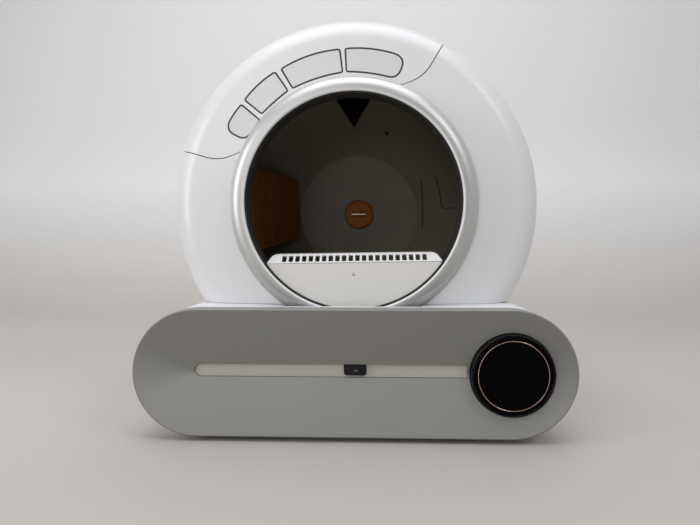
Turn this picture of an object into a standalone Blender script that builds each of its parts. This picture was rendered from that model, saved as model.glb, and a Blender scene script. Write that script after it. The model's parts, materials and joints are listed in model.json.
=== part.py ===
"""Self-cleaning litter box: a motor-driven drum in a round housing, on a base with a waste drawer.

Metres, +Z up. +X is to the right seen from the front, and the front faces -Y.
The origin is the middle of the footprint, on the ground.
Every place along Y is measured back from the face of the drawer front, at the empty "front_face".
"""

import math

import bmesh
import bpy
from mathutils import Matrix, Vector

# Driving dimensions of the whole product
WIDTH = 0.530
DEPTH = 0.470
FOOT_HEIGHT = 0.006
BASE_TOP = 0.160
HOUSING_RADIUS = 0.245

# Clearances and walls
SEAT_GAP = 0.0003
SPLIT_GAP = 0.0005
SLIDE_GAP = 0.0015
RUNNING_GAP = 0.0015
OVERRUN = 0.020
CASE_WALL = 0.0028
THIN_WALL = 0.0022

# Facets round a full turn
LARGE_FACETS = 48
MEDIUM_FACETS = 32
SMALL_FACETS = 16
FILLET_FACETS = 4
BEND_FACETS = 6
END_FACETS = 14
RING_LIP_FACETS = 3
RING_SLOPE_FACETS = 5
STRIP_END_FACETS = 8
SMOOTH_ANGLE = 35.0
FLAT_ANGLE = 20.0

# Base
BASE_FLOOR = 0.003
LIP_DEPTH = 0.009
GUIDE_HEIGHT = 0.012
GUIDE_THICKNESS = 0.0025
GUIDE_SET_BACK = 0.0025

# Drum cradle in the base cover
CRADLE_GAP = 0.004
CRADLE_FRONT = 0.0735
CRADLE_REAR_GAP = 0.024
CHUTE_INSET = 0.036
CHUTE_REACH = 0.029
CHUTE_DROP_GAP = 0.0025

# Housing
FACE_CONE_SLOPE_SHARE = 0.179
FRONT_FILLET_REACH = 0.042
FRONT_FILLET_LENGTH = 0.056
FRONT_FILLET_END = 0.116
FRONT_FILLET_START_ANGLE = 8.0
REAR_SHELL_DEPTH = 0.156
HOUSING_SET_BACK = 0.009
REAR_FILLET_REACH = 0.050
REAR_FILLET_LENGTH = 0.042
REAR_RECESS_INSET = 0.125
REAR_RECESS_DEPTH = 0.003
COVER_ANGLE_RIGHT = 60.7
COVER_ANGLE_LEFT = 162.5
COVER_BEND_RIGHT = 17.7
COVER_BEND_LEFT = -16.5
COVER_BEND_INSET = 0.055
COVER_BEND_POWER = 1.65
COLLAR_FOOT_ANGLE = 3.3
COLLAR_THICKNESS = 0.0025
COLLAR_GAP = 0.0012
CLIP_DEPTH = 0.012

# Entry ring
FACE_BAND = 0.110
RING_WIDTH = 0.020
RING_FRONT = 0.032
RING_BACK = 0.060
RING_BORE_STEP = 0.0022
RING_RISE = 0.0175
RING_INNER_EDGE_ANGLE = 10.0
RING_CREST = 0.0025
RING_SLOPE_END = 78.0
RING_FLANGE = 0.008
RING_FLANGE_THICKNESS = 0.0025
RING_LIP_DEPTH = 0.0025
RING_FLANGE_OPEN_ANGLE = 96.0

# Drum
DRUM_CLEARANCE = 0.0425
DRUM_SINK = 0.0735
DRUM_WALL = 0.0025
MOUTH_REAR = 0.064
DRUM_SHOULDER = 0.122
CONE_DEPTH = 0.072
DRIVE_ROOM = 0.088
CONE_WIDTH = 0.0905
TRACK_HEIGHT = 0.0025
TRACK_FRONT = 0.124
TRACK_WIDTH = 0.014
PORT_HALF_WIDTH = 0.047
PORT_TIP_SHARE = 0.125
PORT_FRONT = 0.165
PORT_TAPER_LEAD = 0.015
PORT_POINT_REACH = 0.039
PORT_OFFSET = -0.0075
AXLE_RADIUS = 0.012
AXLE_END_GAP = 0.020
BEARING_LENGTH = 0.018
BEARING_GAP = 0.0001
BUSH_OUTER = 0.018
HUB_RADIUS = 0.026
HUB_HEIGHT = 0.011
HUB_GRIP_SHARE = 0.7

# Drum drive
GEAR_MODULE = 0.003
PINION_TEETH = 15
GEAR_WIDTH = 0.011
GEAR_BACKLASH_SHARE = 0.14
ROOT_HALF_SHARE = 0.38
TIP_HALF_SHARE = 0.16
ADDENDUM_SHARE = 0.9
DEDENDUM_SHARE = 1.15
GEAR_HOLES = 6
PINION_ANGLE = -45.0
MOTOR_RADIUS = 0.0185
MOTOR_LENGTH = 0.028
GEARBOX_LENGTH = 0.021
SHAFT_RADIUS = 0.004

# Support rollers
ROLLER_RADIUS = 0.012
ROLLER_WIDTH = 0.012
ROLLER_ANGLE = 38.0
ROLLER_AXLE_RADIUS = 0.003
BRACKET_WALL = 0.0025

# Sieve
SIEVE_DEPTH = 0.0455
SIEVE_BEND_DEPTH = 0.0745
SIEVE_TOP = 0.060
SIEVE_BOTTOM = 0.068
SIEVE_REAR_BOTTOM = 0.044
SIEVE_FRONT = 0.134
SIEVE_BEND_LEAD = 0.034
SIEVE_REAR_DEPTH = 0.0950
SIEVE_REAR_REACH = 0.038
SIEVE_SLOT_PITCH = 0.0136
SIEVE_SLOT_WIDTH = 0.006

# Entry step
STEP_GAP = 0.0020
STEP_FRONT = 0.038
STEP_HEIGHT = 0.0593
STEP_TOP_RISE = 0.0116
STEP_TILT = 0.8
STEP_REAR = 0.088
STEP_WALL = 0.0025
STEP_RISER_DEPTH = 0.012
GRILLE_SLOTS = 22
GRILLE_END_INSET = 0.017
GRILLE_RISER_SHARE = 0.64
GRILLE_END_SLANT = 0.0075
GRILLE_END_EASE = 0.0065
GRILLE_SLOT_SHARE = 0.68

# Waste drawer
FRONT_THICKNESS = 0.020
FRONT_DISH = 0.0045
FRONT_EDGE_ROUND = 0.003
FRONT_EDGE_BULGE_SHARE = 0.29
STRIP_BOTTOM = 0.078
STRIP_HEIGHT = 0.0156
STRIP_END_INSET = 0.075
STRIP_DEPTH = 0.0035
SENSOR_HALF_WIDTH = 0.013
SENSOR_X = 0.0032
SENSOR_HEIGHT = 0.013
FRAME_END_INSET = 0.066
FRAME_REAR_GAP = 0.067
FRAME_WALL = 0.0022
FRAME_WALL_HEIGHT = 0.022
LOAD_CELL_SIZE = 0.034
LOAD_CELL_THICKNESS = 0.0035
BIN_WALL = 0.002
BIN_DRAFT = 0.006
BIN_FLARE = 0.0048
BIN_TOP = 0.0748
BIN_RIM = 0.007
BIN_CORNER = 0.025
BAG_RING_HEIGHT = 0.0022

# Control pod
POD_RADIUS = 0.049
POD_PROUD = 0.005
POD_GAP = 0.001
POD_WALL = 0.0025
POD_REAR = 0.058
POD_FLANGE = 0.006
GLASS_THICKNESS = 0.0018
GLASS_MARGIN = 0.0035
COPPER_RADIUS = 0.0423
COPPER_WIDTH = 0.0011
COPPER_THICKNESS = 0.0008

# Feet, boards and inlet
FOOT_RADIUS = 0.013
FOOT_END_INSET = 0.100
FOOT_INSET = 0.050
BOARD_THICKNESS = 0.0016
BOARD_LENGTH = 0.110
BOARD_HEIGHT = 0.060
INLET_RADIUS = 0.0062
INLET_BORE = 0.0032
INLET_LENGTH = 0.016
INLET_FLANGE = 0.0025

# Places worked out from the driving dimensions
FRONT_FACE_Y = -DEPTH / 2 + POD_PROUD
BASE_BOTTOM = FOOT_HEIGHT
BASE_HALF_HEIGHT = (BASE_TOP - BASE_BOTTOM) / 2
BASE_MID = BASE_BOTTOM + BASE_HALF_HEIGHT
BASE_END_X = WIDTH / 2 - BASE_HALF_HEIGHT
POD_X = BASE_END_X
FOOT_X = WIDTH / 2 - FOOT_END_INSET
DIVIDER_X = POD_X - POD_RADIUS - SLIDE_GAP
FRAME_LEFT = FRAME_END_INSET - WIDTH / 2
FRAME_RIGHT = DIVIDER_X - GUIDE_SET_BACK - GUIDE_THICKNESS - SLIDE_GAP
STRIP_LEFT = STRIP_END_INSET - WIDTH / 2
CHUTE_HALF_WIDTH = FRAME_RIGHT - CHUTE_INSET
BASE_FRONT = FRONT_THICKNESS + SLIDE_GAP
BASE_REAR = DEPTH - POD_PROUD
LIP_REAR = BASE_FRONT + LIP_DEPTH
HOUSING_REAR = BASE_REAR - HOUSING_SET_BACK
HOUSING_SPLIT = HOUSING_REAR - REAR_SHELL_DEPTH
AXLE_END = HOUSING_REAR - AXLE_END_GAP
CONE_REAR = HOUSING_REAR - DRIVE_ROOM
DRUM_SHELL_REAR = CONE_REAR - CONE_DEPTH
CRADLE_REAR = CONE_REAR + CRADLE_REAR_GAP
CHUTE_FRONT = TRACK_FRONT + ROLLER_WIDTH + BRACKET_WALL + THIN_WALL + 2 * SLIDE_GAP
CHUTE_REAR = DRUM_SHELL_REAR + CHUTE_REACH
PORT_TAPER = DRUM_SHELL_REAR - PORT_TAPER_LEAD
PORT_APEX = DRUM_SHELL_REAR + PORT_POINT_REACH
SIEVE_BEND = DRUM_SHELL_REAR - SIEVE_BEND_LEAD
SIEVE_REAR = DRUM_SHELL_REAR + SIEVE_REAR_REACH
FRAME_REAR = BASE_REAR - FRAME_REAR_GAP
FLOOR_TOP = BASE_BOTTOM + BASE_FLOOR
DRUM_RADIUS = HOUSING_RADIUS - DRUM_CLEARANCE
DRUM_AXIS_Z = BASE_TOP - DRUM_SINK + DRUM_RADIUS
RING_INNER = HOUSING_RADIUS - FACE_BAND
RING_OUTER = RING_INNER + RING_WIDTH
STEP_RADIUS = RING_INNER - STEP_GAP
MOUTH_INNER = STEP_RADIUS + SEAT_GAP
MOUTH_FRONT = RING_FRONT + RING_LIP_DEPTH + RUNNING_GAP
REAR_DISC_RADIUS = DRUM_RADIUS - CONE_WIDTH
SIEVE_X = DRUM_RADIUS - SIEVE_DEPTH
SIEVE_BEND_X = DRUM_RADIUS - SIEVE_BEND_DEPTH
SIEVE_REAR_X = DRUM_RADIUS - SIEVE_REAR_DEPTH
STEP_LIP_DROP = RING_INNER - STEP_HEIGHT
COVER_BEND_RADIUS = HOUSING_RADIUS - COVER_BEND_INSET
CRADLE_RADIUS = DRUM_RADIUS + TRACK_HEIGHT + CRADLE_GAP
AXIS_LINE = (0, 0, DRUM_AXIS_Z)
GEAR_FRONT = CONE_REAR + DRUM_WALL + SEAT_GAP
GEAR_REAR = GEAR_FRONT + GEAR_WIDTH
GEAR_TEETH = round(2 * REAR_DISC_RADIUS / GEAR_MODULE)
GEAR_RADIUS = GEAR_MODULE * GEAR_TEETH / 2
PINION_RADIUS = GEAR_MODULE * PINION_TEETH / 2


def clear_scene():
    for leftover in list(bpy.data.objects):
        bpy.data.objects.remove(leftover, do_unlink=True)


def paint(name, color, roughness, metallic=0.0, alpha=1.0):
    """One Principled material, made once for each name."""
    material = bpy.data.materials.get(name)
    if material:
        return material
    material = bpy.data.materials.new(name)
    material.use_nodes = True
    shader = material.node_tree.nodes["Principled BSDF"]
    shader.inputs["Base Color"].default_value = (*color, 1.0)
    shader.inputs["Roughness"].default_value = roughness
    shader.inputs["Metallic"].default_value = metallic
    shader.inputs["Alpha"].default_value = alpha
    return material


def white_plastic():
    return paint("white_plastic", (0.80, 0.81, 0.82), 0.35)


def pearl_silver():
    return paint("pearl_silver", (0.66, 0.66, 0.64), 0.25, 0.35)


def step_plastic():
    return paint("step_plastic", (0.80, 0.79, 0.77), 0.45)


def grey_plastic():
    return paint("grey_plastic", (0.23, 0.23, 0.22), 0.45)


def drum_plastic():
    return paint("drum_plastic", (0.055, 0.053, 0.050), 0.50)


def sieve_plastic():
    return paint("sieve_plastic", (0.60, 0.20, 0.05), 0.45)


def black_plastic():
    return paint("black_plastic", (0.02, 0.02, 0.02), 0.30)


def black_glass():
    return paint("black_glass", (0.005, 0.005, 0.006), 0.05)


def copper():
    return paint("copper", (0.72, 0.45, 0.30), 0.25, 1.0)


def steel():
    return paint("steel", (0.60, 0.60, 0.60), 0.30, 1.0)


def rubber():
    return paint("rubber", (0.03, 0.03, 0.03), 0.85)


def nylon():
    return paint("nylon", (0.78, 0.76, 0.70), 0.45)


def diffuser():
    return paint("diffuser", (0.55, 0.52, 0.47), 0.55)


def board_green():
    return paint("board_green", (0.03, 0.16, 0.07), 0.50)


def add_empty(name, place, parent=None):
    empty = bpy.data.objects.new(name, None)
    empty.empty_display_size = OVERRUN
    empty.location = place
    empty.parent = parent
    bpy.context.scene.collection.objects.link(empty)
    return empty


def add_mesh(name, shape, material, parent, smooth_angle=SMOOTH_ANGLE):
    """Turns a bmesh into an object under its parent empty, with its faces pointing out."""
    bmesh.ops.recalc_face_normals(shape, faces=shape.faces)
    mesh = bpy.data.meshes.new(name)
    shape.to_mesh(mesh)
    shape.free()
    mesh.shade_smooth()
    mesh.set_sharp_from_angle(angle=math.radians(smooth_angle))
    part = bpy.data.objects.new(name, mesh)
    if material:
        mesh.materials.append(material)
    part.parent = parent
    bpy.context.scene.collection.objects.link(part)
    return part


def add_helper(name, shape, parent):
    """A solid that only shapes others: the build and a render leave it out."""
    helper = add_mesh(name, shape, None, parent)
    helper.hide_render = True
    helper.display_type = "WIRE"
    return helper


def combine(part, helper, operation):
    modifier = part.modifiers.new(helper.name, "BOOLEAN")
    modifier.operation = operation
    modifier.object = helper
    return part


def cut(part, shape, label):
    return combine(part, add_helper(part.name + "_" + label, shape, part.parent), "DIFFERENCE")


def join(part, shape, label):
    return combine(part, add_helper(part.name + "_" + label, shape, part.parent), "UNION")


def keep(part, shape, label):
    return combine(part, add_helper(part.name + "_" + label, shape, part.parent), "INTERSECT")


def turned(profile, facets=LARGE_FACETS, start=0.0, sweep=360.0):
    """Turns a closed (radius, y) profile about the local Y axis; a sweep under a full turn gets end faces."""
    shape = bmesh.new()
    whole = sweep >= 360.0
    steps = facets if whole else max(2, round(facets * sweep / 360.0))
    rows = []
    for step in range(steps if whole else steps + 1):
        angle = math.radians(start + sweep * step / steps)
        row = []
        for radius, y in profile:
            if radius == 0 and rows:
                row.append(rows[0][len(row)])
                continue
            row.append(shape.verts.new((radius * math.cos(angle), y, radius * math.sin(angle))))
        rows.append(row)
    pairs = list(zip(rows, rows[1:]))
    if whole:
        pairs.append((rows[-1], rows[0]))
    count = len(profile)
    for near, far in pairs:
        for index in range(count):
            following = (index + 1) % count
            corners = []
            for corner in (near[index], near[following], far[following], far[index]):
                if corner not in corners:
                    corners.append(corner)
            if len(corners) > 2:
                shape.faces.new(corners)
    if not whole:
        shape.faces.new(rows[0])
        shape.faces.new(rows[-1])
    return shape


def rod(radius, near, far, facets=LARGE_FACETS):
    """A round solid along the local Y axis."""
    return turned([(0, near), (radius, near), (radius, far), (0, far)], facets)


def tube(inner, outer, near, far, facets=LARGE_FACETS):
    """A round solid along the local Y axis with a bore."""
    return turned([(inner, near), (outer, near), (outer, far), (inner, far)], facets)


def prism(outline, near, far, axis="Y"):
    """A closed outline drawn out along an axis: (x, z) along Y, (x, y) along Z, (y, z) along X."""
    shape = bmesh.new()
    place = {
        "Y": lambda a, b, along: (a, along, b),
        "Z": lambda a, b, along: (a, b, along),
        "X": lambda a, b, along: (along, a, b),
    }[axis]
    first = [shape.verts.new(place(a, b, near)) for a, b in outline]
    last = [shape.verts.new(place(a, b, far)) for a, b in outline]
    shape.faces.new(first)
    shape.faces.new(list(reversed(last)))
    for index in range(len(outline)):
        following = (index + 1) % len(outline)
        shape.faces.new((first[index], first[following], last[following], last[index]))
    return shape


def block(low, high):
    (x0, y0, z0), (x1, y1, z1) = low, high
    return prism([(x0, z0), (x1, z0), (x1, z1), (x0, z1)], y0, y1)


def merged(*shapes):
    """Several bmeshes as one, for a cutter made of solids that lie apart."""
    total = bmesh.new()
    for shape in shapes:
        mesh = bpy.data.meshes.new("merged")
        shape.to_mesh(mesh)
        shape.free()
        total.from_mesh(mesh)
        bpy.data.meshes.remove(mesh)
    return total


def moved(shape, offset):
    bmesh.ops.translate(shape, verts=shape.verts, vec=Vector(offset))
    return shape


def arc(center, radius, start, end, steps):
    """Points on a circle from one angle to another, in degrees, both ends included."""
    points = []
    for step in range(steps + 1):
        angle = math.radians(start + (end - start) * step / steps)
        points.append((center[0] + radius * math.cos(angle), center[1] + radius * math.sin(angle)))
    return points


def stadium(inset=0.0, steps=END_FACETS):
    """The outline that the base and the drawer front share, drawn in by an inset, as (x, z)."""
    radius = BASE_HALF_HEIGHT - inset
    right = arc((BASE_END_X, BASE_MID), radius, -90.0, 90.0, steps)
    left = arc((-BASE_END_X, BASE_MID), radius, 90.0, 270.0, steps)
    return right + left


def rounded_rectangle(x0, y0, x1, y1, radius, steps=FILLET_FACETS):
    points = []
    for center, start in (
        ((x1 - radius, y0 + radius), -90.0),
        ((x1 - radius, y1 - radius), 0.0),
        ((x0 + radius, y1 - radius), 90.0),
        ((x0 + radius, y0 + radius), 180.0),
    ):
        points += arc(center, radius, start, start + 90.0, steps)
    return points


def around(distance, angle):
    """A place in the x and z plane at a distance and an angle in degrees from a local axis."""
    return distance * math.cos(math.radians(angle)), distance * math.sin(math.radians(angle))


def half_stadium(upper, inset=0.0):
    """The upper or lower half of the base outline, cut at its middle height with half a split gap."""
    radius = BASE_HALF_HEIGHT - inset
    level = BASE_MID + (SPLIT_GAP / 2 if upper else -SPLIT_GAP / 2)
    kept = [(x, z) for x, z in stadium(inset) if (z > level if upper else z < level)]
    reach = BASE_END_X + math.sqrt(radius * radius - (level - BASE_MID) ** 2)
    ends = [(-reach, level), (reach, level)]
    if upper:
        return [ends[1]] + kept + [ends[0]]
    right = [point for point in kept if point[0] > 0]
    left = [point for point in kept if point[0] < 0]
    return [ends[0]] + left + right + [ends[1]]


def half_cutter(upper, inset):
    """The same half outline drawn in by a wall and carried past the split, for hollowing a half out."""
    outline = half_stadium(upper, inset)
    past = BASE_MID - OVERRUN if upper else BASE_MID + OVERRUN
    (first_x, _), (last_x, _) = outline[0], outline[-1]
    return [(first_x, past)] + outline + [(last_x, past)]


def build_base_tray(case):
    """The lower pan: half of the stadium, open to the front over the drawer, with guides and a divider."""
    front = BASE_FRONT
    tray = add_mesh("base_tray", prism(half_stadium(False), front, BASE_REAR), white_plastic(), case)
    cut(tray, prism(half_cutter(False, CASE_WALL), front + CASE_WALL, BASE_REAR - CASE_WALL), "inside")
    mouth = add_helper("base_tray_mouth", block(
        (-WIDTH / 2, front - OVERRUN, FLOOR_TOP + SEAT_GAP),
        (DIVIDER_X - SPLIT_GAP, front + CASE_WALL + OVERRUN, BASE_MID + OVERRUN / 2),
    ), case)
    shape = prism(half_cutter(False, CASE_WALL + SEAT_GAP), front - 2 * OVERRUN, front + 2 * OVERRUN)
    keep(mouth, shape, "shape")
    combine(tray, mouth, "DIFFERENCE")
    divider = block(
        (DIVIDER_X, POD_REAR + SLIDE_GAP, FLOOR_TOP - SEAT_GAP),
        (DIVIDER_X + THIN_WALL, BASE_REAR - CASE_WALL + SEAT_GAP, BASE_MID - SPLIT_GAP),
    )
    join(tray, divider, "divider")
    guide_x = FRAME_RIGHT + SLIDE_GAP
    guide = block(
        (guide_x, front + CASE_WALL, FLOOR_TOP - SEAT_GAP),
        (guide_x + GUIDE_THICKNESS, FRAME_REAR, FLOOR_TOP + GUIDE_HEIGHT),
    )
    join(tray, guide, "guide")
    cut(tray, pod_hole(), "pod_hole")
    inlet_x, inlet_z = inlet_place()
    inlet_hole = rod(INLET_RADIUS + SEAT_GAP, BASE_REAR - OVERRUN, BASE_REAR + OVERRUN, SMALL_FACETS)
    cut(tray, moved(inlet_hole, (inlet_x, 0, inlet_z)), "inlet_hole")
    return tray


def pod_hole():
    """The hole through the base's front wall that the control pod sits in."""
    hole = rod(POD_RADIUS + POD_GAP, BASE_FRONT - OVERRUN, BASE_FRONT + OVERRUN, MEDIUM_FACETS)
    return moved(hole, (POD_X, 0, BASE_MID))


def inlet_place():
    return POD_X, BASE_BOTTOM + BASE_HALF_HEIGHT / 2


def cradle_profile(grow=0.0):
    """The hollow that the drum and the ring turn in, as (radius, y); grow gives its outer skin."""
    ring = RING_OUTER + SPLIT_GAP + grow
    wide = CRADLE_RADIUS + grow
    return [
        (0, LIP_REAR - grow),
        (ring, LIP_REAR - grow),
        (ring, CRADLE_FRONT - grow),
        (wide, CRADLE_FRONT - grow),
        (wide, CRADLE_REAR + grow),
        (0, CRADLE_REAR + grow),
    ]


def chute_bottom():
    return BIN_TOP + BAG_RING_HEIGHT + CHUTE_DROP_GAP


def build_base_cover(case):
    """The upper half of the base: a deck, the cradle that the drum turns in, and the waste chute."""
    front = BASE_FRONT
    cover = add_mesh("base_cover", prism(half_stadium(True), front, BASE_REAR), white_plastic(), case)
    cut(cover, prism(half_cutter(True, CASE_WALL), front + CASE_WALL, BASE_REAR - CASE_WALL), "inside")
    skin = add_helper("base_cover_cradle", moved(turned(cradle_profile(THIN_WALL)), AXIS_LINE), case)
    keep_low = block(
        (-WIDTH / 2, front + SEAT_GAP, BASE_BOTTOM),
        (WIDTH / 2, BASE_REAR - SEAT_GAP, BASE_TOP - SEAT_GAP),
    )
    combine(skin, add_helper("base_cover_cradle_limit", keep_low, case), "INTERSECT")
    combine(cover, skin, "UNION")
    collar = block(
        (-CHUTE_HALF_WIDTH - THIN_WALL, CHUTE_FRONT - THIN_WALL, chute_bottom()),
        (CHUTE_HALF_WIDTH + THIN_WALL, CHUTE_REAR + THIN_WALL, BASE_TOP - LIP_DEPTH),
    )
    join(cover, collar, "collar")
    cut(cover, moved(turned(cradle_profile()), AXIS_LINE), "hollow")
    chute = block(
        (-CHUTE_HALF_WIDTH, CHUTE_FRONT, BASE_BOTTOM),
        (CHUTE_HALF_WIDTH, CHUTE_REAR, BASE_TOP + OVERRUN),
    )
    cut(cover, chute, "chute")
    cut(cover, pod_hole(), "pod_hole")
    for side, sign in (("right", 1), ("left", -1)):
        x, z = roller_place(sign)
        half = ROLLER_RADIUS + SLIDE_GAP
        window = block(
            (x - half, TRACK_FRONT - SLIDE_GAP, z - half),
            (x + half, TRACK_FRONT + TRACK_WIDTH + SLIDE_GAP, z + half + OVERRUN),
        )
        cut(cover, window, "roller_window_" + side)
    return cover


def build_feet(case):
    """Four rubber feet under the tray, and the weighing cell that each stands under."""
    places = [(sx, y) for sx in (-1, 1) for y in (BASE_FRONT + FOOT_INSET, BASE_REAR - FOOT_INSET)]
    names = ("front_left", "rear_left", "front_right", "rear_right")
    for name, (sign, y) in zip(names, places):
        x = sign * FOOT_X
        chamfer = FOOT_RADIUS - BASE_FLOOR / 2
        foot = turned_upright([(0, FOOT_HEIGHT - SEAT_GAP), (FOOT_RADIUS, FOOT_HEIGHT - SEAT_GAP),
                               (FOOT_RADIUS, BASE_FLOOR / 2), (chamfer, 0), (0, 0)], SMALL_FACETS)
        add_mesh("foot_" + name, moved(foot, (x, y, 0)), rubber(), case)
        half = LOAD_CELL_SIZE / 2
        low = FLOOR_TOP + SEAT_GAP
        outline = rounded_rectangle(x - half, y - half, x + half, y + half, half / 4, 2)
        plate = prism(outline, low, low + LOAD_CELL_THICKNESS, "Z")
        cell = add_mesh("load_cell_" + name, plate, steel(), case)
        slot_half = half / 2
        slot = block(
            (x - slot_half, y - slot_half, low - OVERRUN),
            (x + slot_half, y - slot_half / 2, low + OVERRUN),
        )
        cut(cell, slot, "strain_slot")


def turned_upright(profile, facets):
    """Turns a closed (radius, z) profile about the local Z axis."""
    shape = turned([(radius, -z) for radius, z in profile], facets)
    upright = Matrix.Rotation(math.radians(-90.0), 3, "X")
    bmesh.ops.rotate(shape, verts=shape.verts, cent=(0, 0, 0), matrix=upright)
    return shape


def roller_place(sign):
    """The roller's centre as (x, z): under the drum's track, to one side."""
    distance = DRUM_RADIUS + TRACK_HEIGHT + SEAT_GAP + ROLLER_RADIUS
    x, drop = around(distance, -90.0 + ROLLER_ANGLE * sign)
    return x, DRUM_AXIS_Z + drop


def build_rollers(case):
    """Two nylon rollers that carry the drum's front track, each on a steel axle in a bracket."""
    y0 = TRACK_FRONT
    y1 = TRACK_FRONT + ROLLER_WIDTH
    for side, sign in (("left", -1), ("right", 1)):
        x, z = roller_place(sign)
        pivot = add_empty("roller_axis_" + side, (x, 0, z), case)
        bore = ROLLER_AXLE_RADIUS + SEAT_GAP
        tread = [(bore, y0), (ROLLER_RADIUS - SEAT_GAP, y0), (ROLLER_RADIUS, y0 + SLIDE_GAP),
                 (ROLLER_RADIUS, y1 - SLIDE_GAP), (ROLLER_RADIUS - SEAT_GAP, y1), (bore, y1)]
        add_mesh("roller_" + side, turned(tread, SMALL_FACETS), nylon(), pivot)
        reach = SLIDE_GAP + BRACKET_WALL
        axle = rod(ROLLER_AXLE_RADIUS, y0 - reach, y1 + reach, SMALL_FACETS // 2)
        add_mesh("roller_axle_" + side, axle, steel(), pivot)
        build_roller_bracket(side, x, z, y0, y1, pivot)


def build_roller_bracket(side, x, z, y0, y1, pivot):
    """A fork that holds a roller's axle, with its top trimmed to sit under the cradle."""
    reach = SLIDE_GAP + BRACKET_WALL
    half = ROLLER_RADIUS / 2
    floor = -ROLLER_RADIUS - SLIDE_GAP
    low = floor - BRACKET_WALL
    top = ROLLER_RADIUS
    outline = [(-half, low), (half, low), (half, top), (-half, top)]
    body = prism(outline, y0 - reach, y1 + reach)
    bracket = add_mesh("roller_bracket_" + side, body, grey_plastic(), pivot)
    fork = block((-half - OVERRUN, y0 - SLIDE_GAP, floor), (half + OVERRUN, y1 + SLIDE_GAP, OVERRUN))
    cut(bracket, fork, "fork")
    under = CRADLE_RADIUS + THIN_WALL + SEAT_GAP
    trim = rod(under, y0 - OVERRUN, y1 + OVERRUN)
    cut(bracket, moved(trim, (-x, 0, DRUM_AXIS_Z - z)), "cradle_seat")
    hole = rod(ROLLER_AXLE_RADIUS + SEAT_GAP, y0 - OVERRUN, y1 + OVERRUN, SMALL_FACETS // 2)
    cut(bracket, hole, "axle_bore")
    return bracket


def quarter_ellipse(center, reach, length, start, end, steps=FILLET_FACETS + 1):
    """Points (radius, y) on a fillet that bends from a face to a barrel."""
    points = []
    for step in range(steps + 1):
        angle = math.radians(start + (end - start) * step / steps)
        points.append((center[0] + reach * math.sin(angle), center[1] - length * math.cos(angle)))
    return points


def front_profile(inset, rear):
    """The housing's front from the ring to the barrel, drawn in by a wall, as (radius, y)."""
    fillet_radius = HOUSING_RADIUS - FRONT_FILLET_REACH
    ring_edge = RING_OUTER + SEAT_GAP
    fillet = quarter_ellipse((fillet_radius, FRONT_FILLET_END), FRONT_FILLET_REACH - inset,
                             FRONT_FILLET_LENGTH - inset, FRONT_FILLET_START_ANGLE, 90.0)
    first = (ring_edge, fillet[0][1] - (fillet[0][0] - ring_edge) * FACE_CONE_SLOPE_SHARE)
    return [first] + fillet + [(HOUSING_RADIUS - inset, rear)]


def rear_profile(inset, front):
    """The rear from the barrel to the middle of the back wall, with the bush's boss, as (radius, y)."""
    fillet_radius = HOUSING_RADIUS - REAR_FILLET_REACH
    fillet_start = HOUSING_REAR - REAR_FILLET_LENGTH
    fillet = quarter_ellipse((fillet_radius, fillet_start), REAR_FILLET_REACH - inset,
                             -(REAR_FILLET_LENGTH - inset), 90.0, 0.0)
    recess = HOUSING_REAR - REAR_RECESS_DEPTH - inset
    edge = HOUSING_RADIUS - REAR_RECESS_INSET + inset
    wall = [(edge + REAR_RECESS_DEPTH, HOUSING_REAR - inset), (edge, recess)]
    if inset:
        boss_front = AXLE_END - BEARING_LENGTH
        seat = BUSH_OUTER + SEAT_GAP
        wall += [(seat + 2 * inset, recess), (seat + inset, boss_front), (seat, boss_front),
                 (seat, AXLE_END + SEAT_GAP), (0, AXLE_END + SEAT_GAP)]
    else:
        wall.append((0, recess))
    return [(HOUSING_RADIUS - inset, front)] + fillet + wall


def full_housing(front, rear, name, case):
    """A stretch of the whole housing shell between two planes."""
    if front is None:
        outer = front_profile(0.0, rear)
        inner = front_profile(CASE_WALL, rear)
        profile = outer + list(reversed(inner))
    else:
        outer = rear_profile(0.0, front)
        inner = rear_profile(CASE_WALL, front)
        profile = outer + list(reversed(inner))
    return add_mesh(name, moved(turned(profile), AXIS_LINE), white_plastic(), case)


def cover_outline(gap):
    """The top cover's sector as (x, z): its two seams bend near the ring, like the real ones."""
    far = HOUSING_RADIUS + OVERRUN
    near = RING_INNER
    right, left = [], []
    for step in range(BEND_FACETS + 1):
        share = step / BEND_FACETS
        radius = COVER_BEND_RADIUS + (near - COVER_BEND_RADIUS) * share
        turn = math.degrees(gap / radius)
        right.append(around(radius, COVER_ANGLE_RIGHT + COVER_BEND_RIGHT * share**COVER_BEND_POWER + turn))
        left.append(around(radius, COVER_ANGLE_LEFT + COVER_BEND_LEFT * share**COVER_BEND_POWER - turn))
    turn = math.degrees(gap / far)
    right.insert(0, around(far, COVER_ANGLE_RIGHT + turn))
    left.insert(0, around(far, COVER_ANGLE_LEFT - turn))
    crown = arc((0, 0), far, COVER_ANGLE_LEFT - turn, COVER_ANGLE_RIGHT + turn, END_FACETS)[1:-1]
    ends = COVER_ANGLE_RIGHT + COVER_BEND_RIGHT, COVER_ANGLE_LEFT + COVER_BEND_LEFT
    inner = arc((0, 0), near, *ends, BEND_FACETS)[1:-1]
    return right + inner + list(reversed(left)) + crown


def cover_reach():
    return HOUSING_REAR - REAR_FILLET_LENGTH - CLIP_DEPTH


def below_deck():
    """Everything that the housing doesn't keep, under the base's deck."""
    return block((-WIDTH, -OVERRUN, -OVERRUN), (WIDTH, DEPTH, BASE_TOP + SEAT_GAP))


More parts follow.
